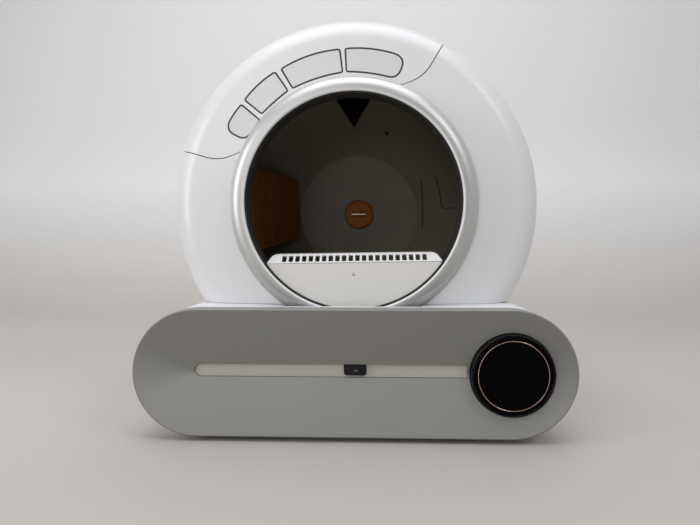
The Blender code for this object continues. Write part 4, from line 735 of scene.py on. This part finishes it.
GLASS_SEAT = (0.9 * MM, 0.7 * MM)
COPPER_RADIUS = 41.0 * MM
COPPER_HALF = 0.45 * MM
COPPER_GROOVE = 1.1 * MM
COPPER_STEPS = 10


def stadium(inset):
    """The base's outline as (x, z), anticlockwise from the top of its left end."""
    radius = BASE_HALF - inset
    left = circle((-BASE_END, BASE_MID), radius, 90.0, 270.0, STADIUM_STEPS)
    return left + circle((BASE_END, BASE_MID), radius, -90.0, 90.0, STADIUM_STEPS)


def dish_depth(x, z):
    """How far the panel's face falls back at a place: a shallow V about the middle line."""
    beyond = max(0.0, abs(x) - BASE_END)
    reach = BASE_HALF - FRONT_ROUND
    share = 1.0 - min(1.0, hypot(beyond, z - BASE_MID) / reach)
    if share >= 1.0 - DISH_RIDGE:
        share = 1.0 - DISH_RIDGE / 2 - (1.0 - share) ** 2 / (2 * DISH_RIDGE)
    return FRONT_DISH * share


def dished_panel():
    """The drawer front's solid: its rounded edge, and a face that falls to the middle line."""
    edge = circle((FRONT_ROUND, FRONT_ROUND), FRONT_ROUND, 180.0, 270.0, FRONT_ROUND_STEPS)
    loops = [[(x, depth, z) for x, z in stadium(inset)] for inset, depth in [(0.0, FRONT_THICKNESS)] + edge]
    for share in DISH_SHARES:
        inset = FRONT_ROUND + (BASE_HALF - FRONT_ROUND) * share
        loops.append([(x, dish_depth(x, z), z) for x, z in stadium(inset)])
    shape = skin(loops, True, False)
    shape.verts.ensure_lookup_table()
    last = shape.verts[-len(loops[-1]):]
    left, right = (shape.verts.new((x, dish_depth(x, BASE_MID), BASE_MID)) for x in (-BASE_END, BASE_END))
    half = len(last) // 2
    for index, vertex in enumerate(last):
        near, far = (left, right) if index < half else (right, left)
        ends = (far, near) if index in (half - 1, len(last) - 1) else (near,)
        shape.faces.new((vertex, last[(index + 1) % len(last)], *ends))
    return shape


def strip_outline(inset):
    """The light strip's slot as (x, z): its left end is round, and its right end runs up to the pod."""
    half, middle = (STRIP_HIGH - STRIP_LOW) / 2, (STRIP_HIGH + STRIP_LOW) / 2
    radius = half - inset
    left = circle((STRIP_LEFT + half, middle), radius, 90.0, 270.0, STRIP_STEPS)
    rise = STRIP_HIGH - BASE_MID
    end = BASE_END - sqrt((POD_RADIUS + POD_GAP) ** 2 - rise**2) - STRIP_TO_POD
    return left + [(end - inset, middle - radius), (end - inset, middle + radius)]


def window_outline(inset):
    low, high = STRIP_HIGH - SENSOR_HEIGHT + inset, STRIP_HIGH - inset
    left, right = SENSOR_X - SENSOR_HALF + inset, SENSOR_X + SENSOR_HALF - inset
    return filleted([(left, low, 3.6), (right, low, 3.6), (right, high, 0.6), (left, high, 0.6)], 6)


def make_drawer_front(m):
    panel = made("drawer_panel", dished_panel(), m["grey"], PANEL_SMOOTH)
    hole = lathe(rectangle(0.0, -OVERRUN, POD_RADIUS + POD_GAP, 2 * OVERRUN), POD_FACETS, center=POD_CENTER)
    for cut in (slab(strip_outline(0.0), -OVERRUN, FRONT_DISH + STRIP_DEPTH), hole,
                slab(window_outline(-SEAT_GAP), -OVERRUN, FRONT_THICKNESS - FRONT_DISH)):
        boolean(panel, cut, smooth=PANEL_SMOOTH)
    soften(panel, PANEL_SOFT, angle=PANEL_SMOOTH)
    placed(panel, "waste_drawer", "grey_plastic", "drawer_front")

    front = FRONT_DISH + STRIP_DEPTH / 2 - SEAT_GAP
    rear = FRONT_DISH + STRIP_DEPTH - SEAT_GAP
    strip = made("light_bar", slab(strip_outline(SEAT_GAP), front, rear), m["strip"])
    boolean(strip, slab(window_outline(-SEAT_GAP), -OVERRUN, OVERRUN))
    soften(strip, STRIP_SOFT)
    placed(strip, "waste_drawer", "diffuser", "light_strip")

    face = FRONT_DISH / 2
    window = made("sensor_glass", slab(window_outline(SEAT_GAP), face, rear), m["window"])
    soften(window, SENSOR_SOFT, 3)
    placed(window, "waste_drawer", "black_glass", "sensor_window")
    (x, z), (wide, high) = LENS_CENTER, LENS_HALF
    lens = rounded(rectangle(x - wide, z - high, x + wide, z + high), LENS_ROUND, 6)
    emitter = made("sensor_emitter", slab(lens, face - LENS_PROUD, face + LENS_DEPTH), m["lens"])
    placed(emitter, "waste_drawer", "black_glass")


def make_pod(m):
    """The control pod: a round-edged housing, a touch glass and a copper line set in it."""
    def turned(name, profile, key, slot, node, smooth=SHARP_ANGLE):
        piece = made(name, lathe(profile, POD_FACETS, center=POD_CENTER), m[key], smooth)
        placed(piece, "base", slot, node)

    front = -POD_PROUD
    seat = front + GLASS_THICKNESS + 2 * SEAT_GAP
    rim, drop = GLASS_SEAT
    turned("control_pod", circle((POD_RADIUS - POD_ROUND, front + POD_ROUND), POD_ROUND, 0.0, -90.0, 8) + [
        (GLASS_RADIUS + rim, front), (GLASS_RADIUS + SEAT_GAP, front + drop), (GLASS_RADIUS + SEAT_GAP, seat),
        (0.0, seat), (0.0, seat + POD_WALL), (POD_RADIUS - POD_WALL, seat + POD_WALL),
        (POD_RADIUS - POD_WALL, POD_REAR), (POD_RADIUS, POD_REAR),
    ], "black", "black_plastic", "pod_housing", POD_SMOOTH)
    groove = COPPER_HALF + SEAT_GAP / 2
    near, far = COPPER_RADIUS - groove, COPPER_RADIUS + groove
    turned("touch_face", [
        (0.0, front), (near, front), (near, front + COPPER_GROOVE), (far, front + COPPER_GROOVE), (far, front),
        (GLASS_RADIUS - GLASS_BEVEL, front), (GLASS_RADIUS, front + GLASS_BEVEL),
        (GLASS_RADIUS, front + GLASS_THICKNESS), (0.0, front + GLASS_THICKNESS),
    ], "glass", "black_glass", "touch_glass")
    line = circle((COPPER_RADIUS, front + COPPER_HALF), COPPER_HALF, 0.0, 360.0, COPPER_STEPS)[:-1]
    turned("copper_ring", line, "copper", "copper", "copper_line")


# Drum: its front sleeve and shoulder, barrel, coned back, sieve, cap and step

MOUTH_RADIUS = 133.3 * MM
MOUTH_FRONT = 36.0 * MM
MOUTH_REAR = 64.0 * MM
SHOULDER = 122.0 * MM
TRACK_FRONT = 124.0 * MM
TRACK_WIDTH = 14.0 * MM
TRACK_HEIGHT = 2.5 * MM
TRACK_BEVEL = 1.2 * MM
BARREL_REAR = 296.0 * MM
CONE_REAR = 368.0 * MM
CONE_LENGTH = CONE_REAR - DRUM_WALL * 2 - BARREL_REAR
DISC_RADIUS = 112.0 * MM
AXLE_RADIUS = 12.0 * MM
PORT_X = -7.5 * MM
PORT_HALF = 47.0 * MM
PORT_FRONT = 165.0 * MM
PORT_TAPER = 281.0 * MM
PORT_APEX = 335.0 * MM
PORT_SOFT = 0.4 * MM
HUB_RADIUS = 26.0 * MM
HUB_HEIGHT = 11.0 * MM
HUB_SWELL = (0.6 * MM, 0.4 * MM)
HUB_SOFT = 1.1 * MM
HUB_SMOOTH = 50.0
GRIP_HEIGHT = 2.6 * MM
GRIP_HALF = 5.0 * MM
GRIP_BASE = 0.7 * MM
GRIP_STEPS = 48

# Two ribs on the drum's coned back as (radius in mm, angle), and their section as shares of the half width
# and the height

RIBS = (
    ((151.0, 26.0), (149.5, 19.0), (148.3, 12.0), (147.5, 6.5), (148.5, 4.2), (152.0, 3.5), (160.0, 3.2),
     (169.0, 3.0)),
    ((127.0, 27.6), (121.5, 19.0), (118.0, 10.0), (116.8, 0.0), (117.4, -8.0), (119.0, -14.1)),
)
RIB_SECTION = ((-1.0, -0.3), (-0.6, 1.0), (0.6, 1.0), (1.0, -0.3))
RIB_WIDTH = 1.5 * MM
RIB_HEIGHT = 0.7 * MM

# A plug there: its place, and its profile as (radius, depth behind the cone, round) in mm

PLUG_RADIUS = 151.3 * MM
PLUG_ANGLE = 70.4
PLUG_PROFILE = ((0.0, -0.9, 0.0), (3.4, -0.9, 0.5), (4.0, 0.0, 0.5), (4.0, 2.0, 0.0), (0.0, 2.0, 0.0))
PLUG_FACETS = 32


def port_outline():
    """The waste port seen from above as (x, depth)."""
    right, left = PORT_X + PORT_HALF, PORT_X - PORT_HALF
    return filleted([(right, PORT_TAPER, 8.0), (right, PORT_FRONT, 15.0), (left, PORT_FRONT, 15.0),
                     (left, PORT_TAPER, 8.0), (PORT_X, PORT_APEX, 2.5)], 8)


def make_drum(m):
    wall = DRUM_WALL
    track = DRUM_RADIUS + TRACK_HEIGHT
    # Painted shade: the mouth piece, drum plastic like the barrel, is near-black for the shadow in the drum's
    # mouth
    front = made("drum_mouth", lathe(filleted([
        (MOUTH_RADIUS, MOUTH_FRONT, 0.8),
        (MOUTH_RADIUS + wall, MOUTH_FRONT, 0.8),
        (MOUTH_RADIUS + wall, MOUTH_REAR - wall, 4.0),
        (DRUM_RADIUS - 2 * wall, SHOULDER - 3 * wall, 8.0),
        (DRUM_RADIUS, SHOULDER, 3.0),
        (track, TRACK_FRONT - TRACK_BEVEL, 0.8),
        (track, TRACK_FRONT + TRACK_WIDTH, 0.8),
        (DRUM_RADIUS - wall, TRACK_FRONT + TRACK_WIDTH, 0.0),
        (DRUM_RADIUS - wall, SHOULDER + wall / 2, 3.0),
        (DRUM_RADIUS - 3 * wall, SHOULDER - 2 * wall, 8.0),
        (MOUTH_RADIUS, MOUTH_REAR, 4.0),
    ], 4)), m["sleeve"])
    placed(front, "drum", "drum_plastic", "drum_front")

    near, far = TRACK_FRONT + TRACK_WIDTH + SEAT_GAP, BARREL_REAR - SEAT_GAP
    barrel = made("drum_barrel", lathe(rectangle(DRUM_RADIUS - wall, near, DRUM_RADIUS, far)), m["dark"])
    back = made("drum_back", lathe(filleted([
        (DRUM_RADIUS, BARREL_REAR, 0.0),
        (DISC_RADIUS, CONE_REAR, 2.0),
        (DISC_RADIUS - 2 * wall, CONE_REAR, 0.0),
        (AXLE_RADIUS + SEAT_GAP, CONE_REAR, 0.0),
        (AXLE_RADIUS + SEAT_GAP, CONE_REAR - wall, 0.0),
        (DISC_RADIUS - 2 * wall, CONE_REAR - wall, 3.0),
        (DISC_RADIUS - wall, CONE_REAR - 2 * wall, 3.0),
        (DRUM_RADIUS - wall, BARREL_REAR, 0.0),
    ], 5)), m["dark"])
    for shell, low, node in ((barrel, DRUM_RADIUS / 2, "drum_shell"), (back, DISC_RADIUS, "drum_rear")):
        boolean(shell, slab(port_outline(), low + AXIS_Z, DRUM_RADIUS + OVERRUN + AXIS_Z, "Z"))
        soften(shell, PORT_SOFT)
        placed(shell, "drum", "drum_plastic", node)


def cone_inside(depth):
    """The inner radius of the drum's coned back at a depth."""
    share = (depth - BARREL_REAR) / CONE_LENGTH
    return DRUM_RADIUS - DRUM_WALL + (DISC_RADIUS - DRUM_RADIUS) * share


def cone_depth(radius):
    """How far back the coned back's inner face lies at a radius."""
    share = (DRUM_RADIUS - DRUM_WALL - radius) / (DRUM_RADIUS - DISC_RADIUS)
    return BARREL_REAR + CONE_LENGTH * min(share, 1.0)


def ridge(path):
    """A low rib along the drum's coned back, on points (x, z)."""
    loops = []
    for index, spot in enumerate(path):
        along = path[min(len(path) - 1, index + 1)] - path[max(0, index - 1)]
        side = Vector((-along.y, along.x)).normalized() * RIB_WIDTH / 2
        loop = []
        for shift, lift in RIB_SECTION:
            x, z = spot + side * shift
            loop.append((x, cone_depth(hypot(x, z - AXIS_Z)) - RIB_HEIGHT * lift, z))
        loops.append(loop)
    return skin(loops)


def make_drum_marks(m):
    """The moulded ribs and the plug that show on the drum's coned back."""
    shapes = [ridge([Vector(around(radius * MM, angle)) for radius, angle in path]) for path in RIBS]
    # Painted shade: the ribs take the near-black material, standing in for the shade along them
    placed(made("drum_ribs", combined(shapes), m["sleeve"]), "drum", "drum_plastic")
    depth = cone_depth(PLUG_RADIUS)
    profile = filleted([(radius * MM, depth + back * MM, fillet) for radius, back, fillet in PLUG_PROFILE], 4)
    plug = lathe(profile, PLUG_FACETS, center=around(PLUG_RADIUS, PLUG_ANGLE))
    placed(made("drum_plug", plug, m["rubber"]), "drum", "rubber")


SIEVE_FRONT = 134.0 * MM
SIEVE_BEND = 262.0 * MM
SIEVE_REAR = 334.0 * MM
SIEVE_FRONT_X = -157.0 * MM
SIEVE_BEND_X = -128.0 * MM
SIEVE_REAR_X = -107.5 * MM
SIEVE_TOP = AXIS_Z + 60.0 * MM
SIEVE_LOW = AXIS_Z - 68.0 * MM
SIEVE_LOW_REAR = AXIS_Z - 44.0 * MM
SIEVE_SOFT = 0.5 * MM
SLOT_PITCH = 13.6 * MM
SLOT_WIDTH = 3.6 * MM
SLOT_ROUND = 1.7 * MM


def sieve_path(thickness=0.0):
    path = filleted([(SIEVE_FRONT_X, SIEVE_FRONT, 0.0), (SIEVE_BEND_X, SIEVE_BEND, 14.0),
                     (SIEVE_REAR_X, SIEVE_REAR, 0.0)], 8)
    return [(x - thickness, depth) for x, depth in path]


def slanted(shape):
    """Draws the lower edge up towards the rear."""
    rise = (SIEVE_LOW_REAR - SIEVE_LOW) / (SIEVE_REAR - SIEVE_FRONT)
    for vertex in shape.verts:
        if vertex.co.z < AXIS_Z:
            vertex.co.z += rise * (vertex.co.y - SIEVE_FRONT)
    return shape


def make_sieve(m):
    wall = DRUM_WALL
    screen = slanted(slab(sieve_path() + sieve_path(wall)[::-1], SIEVE_LOW, SIEVE_TOP, "Z"))
    sieve = made("sieve_screen", screen, m["orange"])
    shelf = sieve_path() + [(-DRUM_RADIUS, SIEVE_REAR), (-DRUM_RADIUS, SIEVE_FRONT)]
    boolean(sieve, slab(shelf, SIEVE_TOP - wall, SIEVE_TOP, "Z"), "UNION")
    boolean(sieve, slanted(slab(shelf, SIEVE_LOW, SIEVE_LOW + wall, "Z")), "UNION")
    inside = DRUM_RADIUS - wall - SEAT_GAP
    boolean(sieve, lathe([
        (0.0, SIEVE_FRONT - OVERRUN), (inside, SIEVE_FRONT - OVERRUN), (inside, BARREL_REAR - wall),
        (cone_inside(SIEVE_REAR) - 2 * SEAT_GAP, SIEVE_REAR), (0.0, SIEVE_REAR),
    ]), "INTERSECT")
    slots = []
    for index in range(int((SIEVE_BEND - SIEVE_FRONT - 2 * wall) / SLOT_PITCH)):
        near = SIEVE_FRONT + 2 * wall + SLOT_PITCH * index
        box = rectangle(near, SIEVE_LOW + 3 * wall, near + SLOT_WIDTH, SIEVE_TOP - 3 * wall)
        slot = slab(rounded(box, SLOT_ROUND, 5), SIEVE_FRONT_X - 2 * wall, SIEVE_BEND_X + wall, "X")
        slots.append(slanted(slot))
    boolean(sieve, combined(slots))
    soften(sieve, SIEVE_SOFT)
    placed(sieve, "drum", "sieve_plastic", "sieve")


def make_hub(m):
    """The cap in the middle of the drum's back, with its raised grip."""
    rear = CONE_REAR - DRUM_WALL - SEAT_GAP
    front = rear - HUB_HEIGHT
    edge, half = HUB_HEIGHT / 3, HUB_RADIUS / 2
    bore = AXLE_RADIUS + SEAT_GAP
    socket = rear - HUB_HEIGHT / 2 - SEAT_GAP
    profile = [(0.0, front - HUB_SWELL[0]), (half, front - HUB_SWELL[1])]
    profile += circle((HUB_RADIUS - edge, front + edge), edge, -90.0, 0.0, 8)
    profile += [(HUB_RADIUS, rear), (bore, rear), (bore, socket), (0.0, socket)]
    cap = made("hub_knob", lathe(profile, HUB_FACETS), m["cap"])
    turns = [radians(360.0 * step / GRIP_STEPS) for step in range(GRIP_STEPS)]
    grip = [(front + GRIP_HEIGHT * cos(turn), AXIS_Z + GRIP_HALF * sin(turn)) for turn in turns]
    boolean(cap, slab(grip, -half, half, "X"), "UNION")
    give_second_material(cap, m["grip"], lambda x, y, z, _: (
        y < PANEL_Y + front - GRIP_BASE and abs(x) < half and abs(z - AXIS_Z) < GRIP_HALF))
    soften(cap, HUB_SOFT, 4, HUB_SMOOTH)
    placed(cap, "drum", "sieve_plastic", "hub_cap")


STEP_RADIUS = 133.0 * MM
STEP_FRONT = 38.0 * MM
STEP_REAR = 88.0 * MM
STEP_DROP = 75.7 * MM
STEP_RISE = 11.6 * MM
STEP_TILT = 0.8
STEP_WALL = 2.5 * MM
STEP_FACETS = 72
STEP_SOFT = 1.0 * MM
DIMPLE_CENTER = (-0.5 * MM, AXIS_Z - 90.0 * MM)
DIMPLE_PROFILE = ((0.0, 0.9), (1.2, 0.7), (2.1, 0.0), (2.1, -20.0), (0.0, -20.0))
DIMPLE_FACETS = 24
RISER_DEPTH = 12.0 * MM
RISER_SLOT_LOW = STEP_WALL * 0.8
RISER_SLOT_TOP = STEP_RISE * 0.8
RISER_SLOT_ROUND = 0.7 * MM
RAMP_SLANT = 5.0 * MM
RAMP_EASE = 5.5 * MM
RAMP_SOFT = 0.35 * MM
RAMP_BORDER = 17.0 * MM
RAMP_SLOTS = 22
RAMP_SLOT_SHARE = 0.68
RAMP_SLOT_ROUND = 1.2 * MM


def tilted(piece):
    """Turns a piece about the drum's axis by the step's slight tilt."""
    turn = Matrix.Rotation(radians(-STEP_TILT), 4, "Y")
    lift = Matrix.Translation((0.0, 0.0, AXIS_Z))
    piece.data.transform(lift @ turn @ lift.inverted())


def make_step(m):
    """The entry step: a crescent with a rounded lip, and the slotted ramp behind it."""
    start = degrees(asin(STEP_DROP / STEP_RADIUS))
    rim, inner = (circle(AXIS, radius, start - 180.0, -start, STEP_FACETS)
                  for radius in (STEP_RADIUS, STEP_RADIUS - STEP_WALL))
    body = made("step_front", slab(rim, STEP_FRONT, STEP_REAR), m["white_step"])
    hollow = inner + [(inner[-1][0], AXIS_Z), (inner[0][0], AXIS_Z)]
    boolean(body, slab(hollow, STEP_FRONT + STEP_WALL, STEP_REAR + OVERRUN))
    dimple = [(radius * MM, STEP_FRONT + depth * MM) for radius, depth in DIMPLE_PROFILE]
    boolean(body, lathe(dimple, DIMPLE_FACETS, center=DIMPLE_CENTER))
    # Painted shade: the step's inside faces, those looking back or in at the axis, turn near-black
    shade_inside(body, m["sleeve"], 1)
    tilted(body)
    soften(body, STEP_SOFT, 3)
    placed(body, "drum", "step_plastic", "step")

    low = AXIS_Z - STEP_DROP + SEAT_GAP
    top = low + STEP_RISE
    crest = STEP_FRONT + RISER_DEPTH
    half = sqrt(STEP_RADIUS**2 - STEP_DROP**2) - SEAT_GAP
    section = filleted([
        (STEP_FRONT, low, 0.0),
        (STEP_FRONT, low + STEP_WALL / 2, 0.8),
        (crest, top, 3.0),
        (STEP_REAR, top, 0.8),
        (STEP_REAR, top - STEP_WALL, 0.8),
        (crest + STEP_WALL / 2, top - STEP_WALL, 2.0),
        (STEP_FRONT + STEP_WALL, low, 0.0),
    ], 5)
    grille = made("step_ramp", slab(section, -half, half, "X"), m["white_step"])
    slant = half - RAMP_SLANT
    ends = [(half, low - OVERRUN, 0.0), (half, low + STEP_WALL / 2, 1.0), (slant, top - STEP_WALL, 4.0),
            (slant - RAMP_EASE, top + SEAT_GAP, 4.0)]
    trim = filleted(ends + [(-x, z, fillet) for x, z, fillet in ends[::-1]], 6)
    boolean(grille, slab(trim, STEP_FRONT - OVERRUN, STEP_REAR + OVERRUN), "INTERSECT")
    row = half - RAMP_BORDER
    pitch = 2 * row / RAMP_SLOTS
    width = pitch * RAMP_SLOT_SHARE
    near, far = crest + 2 * STEP_WALL, STEP_REAR - 2 * STEP_WALL
    slots = []
    for index in range(RAMP_SLOTS):
        left = pitch * (index + 0.5) - row - width / 2
        riser = rectangle(left, low + RISER_SLOT_LOW, left + width, low + RISER_SLOT_TOP)
        slots.append(slab(rounded(riser, RISER_SLOT_ROUND, 3), STEP_FRONT - OVERRUN, crest))
        plateau = rectangle(left, near, left + width, far)
        slots.append(slab(rounded(plateau, RAMP_SLOT_ROUND, 3), low, top + OVERRUN, "Z"))
    boolean(grille, combined(slots))
    # Painted shade: the ramp's faces that look down or back turn near-black, seen through its slots
    give_second_material(grille, m["sleeve"], lambda x, y, z, normal: normal.z < -FACES or normal.y > FACES)
    tilted(grille)
    soften(grille, RAMP_SOFT)
    placed(grille, "drum", "step_plastic", "step_grille")


# CAD nodes that stay: their shape is the frame's, and they get a finish and smooth shading

CORNERS = ("front_left", "front_right", "rear_left", "rear_right")
FINISHES = {
    "white": ("base_tray", "base_cover", "bag_ring"),
    "grey": ("drawer_frame",),
    "bin": ("waste_bin", "roller_bracket_left", "roller_bracket_right"),
    "black": ("power_inlet",),
    "rubber": tuple("foot_" + corner for corner in CORNERS),
    "nylon": ("drum_gear", "drive_pinion", "roller_left", "roller_right", "rear_bush"),
    "board": ("display_board", "main_board", "sensor_board"),
    "steel": ("drum_axle", "roller_axle_left", "roller_axle_right", "motor_bracket", "gearbox", "drive_motor",
              *("load_cell_" + corner for corner in CORNERS)),
}
EDGE_ROUNDS = {"base_tray": 0.6, "base_cover": 0.6, "bag_ring": 0.6, "drawer_frame": 0.5, "waste_bin": 0.7,
               "drum_gear": 0.25, "drive_pinion": 0.2}
USUAL_ROUND = 0.3
WELD_REACH = 0.002 * MM
FLAT_ANGLE = 0.4


def dress_frame(m):
    """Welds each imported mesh, joins its flat triangles and rounds its edges, all as modifiers."""
    for key, nodes in FINISHES.items():
        for name in nodes:
            node = frame["nodes"][name]
            node.data.materials.clear()
            node.data.materials.append(m[key])
            node.data.shade_smooth()
            modify(node, "WELD", merge_threshold=WELD_REACH)
            modify(node, "DECIMATE", decimate_type="DISSOLVE", angle_limit=radians(FLAT_ANGLE))
            soften(node, EDGE_ROUNDS.get(name, USUAL_ROUND) * MM)


# Stage: floor, light and the photograph's camera

FLOOR_HALF = 6.0
FLOOR_REAR = 1.1
SWEEP_RADIUS = 0.8
SWEEP_STEPS = 10
WALL_TOP = 4.0

# The room's light: its colour, how far forward (Y of the direction) its dark end starts and ends, and its
# strength in that end and elsewhere

ROOM_COLOR = (0.93, 0.95, 1.0, 1.0)
ROOM_SHADE = (-1.0, -0.45, 0.10, 0.50)

# Area lights: name, place, what it is turned to, width and height, power in W

LIGHTS = (
    ("key", (-1.0, -2.4, 1.35), (0.0, -0.1, 0.3), (1.6, 1.2), 8.0),
    ("front", (-0.3, -2.9, 0.45), (0.0, 0.0, 0.32), (1.0, 0.6), 6.5),
    ("window", (-2.3, -1.0, 0.9), (0.0, -0.1, 0.3), (1.0, 1.6), 18.0),
    ("upper", (1.9, -1.5, 2.0), (0.0, -0.1, 0.35), (0.9, 0.9), 10.0),
    ("top", (0.0, -0.2, 2.4), (0.0, 0.0, 0.3), (2.4, 2.0), 30.0),
)


def make_floor():
    """A pale floor that bends up into a pale wall."""
    floor = Surface("pale_floor", (0.52, 0.485, 0.45), 0.6)
    floor.drift((0.50, 0.465, 0.43), 1.2, 3.0, 0.3, 0.8)
    floor.tint(floor.remap(floor.upward(floor.place()), 0.0, 0.5), (0.86, 0.86, 0.85))
    path = [(-FLOOR_HALF, 0.0)]
    path += bend((FLOOR_REAR, SWEEP_RADIUS), SWEEP_RADIUS, SWEEP_RADIUS, 0.0, 90.0, SWEEP_STEPS)
    path.append((FLOOR_REAR + SWEEP_RADIUS, WALL_TOP))
    shape = bmesh.new()
    rows = [[shape.verts.new((x, y, z)) for y, z in path] for x in (-FLOOR_HALF, FLOOR_HALF)]
    for index in range(len(path) - 1):
        shape.faces.new((rows[0][index], rows[1][index], rows[1][index + 1], rows[0][index + 1]))
    made("floor", shape, floor.material, 180.0)


def make_light(name, place, target, size, power):
    light = bpy.data.lights.new(name, "AREA")
    light.shape = "RECTANGLE"
    light.size, light.size_y = size
    light.energy = power
    lamp = bpy.data.objects.new(name, light)
    lamp.location = place
    lamp.rotation_euler = (Vector(target) - Vector(place)).to_track_quat("-Z", "Y").to_euler()
    show(lamp)


def make_lights():
    world = bpy.data.worlds.new("studio")
    world.use_nodes = True
    tree = world.node_tree
    room = tree.nodes["Background"]
    room.inputs["Color"].default_value = ROOM_COLOR
    split, shade = tree.nodes.new("ShaderNodeSeparateXYZ"), tree.nodes.new("ShaderNodeMapRange")
    set_range(shade, ROOM_SHADE)
    tree.links.new(tree.nodes.new("ShaderNodeTexCoord").outputs["Generated"], split.inputs["Vector"])
    tree.links.new(split.outputs["Y"], shade.inputs["Value"])
    tree.links.new(shade.outputs["Result"], room.inputs["Strength"])
    bpy.context.scene.world = world
    bpy.context.scene.view_settings.view_transform = "Standard"
    for values in LIGHTS:
        make_light(*values)


def make_camera():
    yaw, pitch, roll = (radians(angle) for angle in CAMERA_TURN)
    ahead = Vector((sin(yaw) * cos(pitch), cos(yaw) * cos(pitch), sin(pitch)))
    right = Vector((cos(yaw), -sin(yaw), 0.0))
    lens = bpy.data.cameras.new("camera")
    lens.sensor_width = SENSOR_WIDTH
    lens.lens = FOCAL_PX / IMAGE_WIDTH * SENSOR_WIDTH
    camera = bpy.data.objects.new("camera", lens)
    rotation = Matrix((right, right.cross(ahead), -ahead)).transposed() @ Matrix.Rotation(roll, 3, "Z")
    place = Vector(CAMERA_PLACE) + Vector((0.0, PANEL_Y, 0.0))
    camera.matrix_world = Matrix.Translation(place) @ rotation.to_4x4()
    show(camera)
    bpy.context.scene.camera = camera


materials = make_materials()
for make in (dress_frame, make_housing, make_ring, make_cells, make_drawer_front, make_pod, make_drum,
             make_drum_marks, make_sieve, make_hub, make_step):
    make(materials)
make_floor()
make_lights()
make_camera()
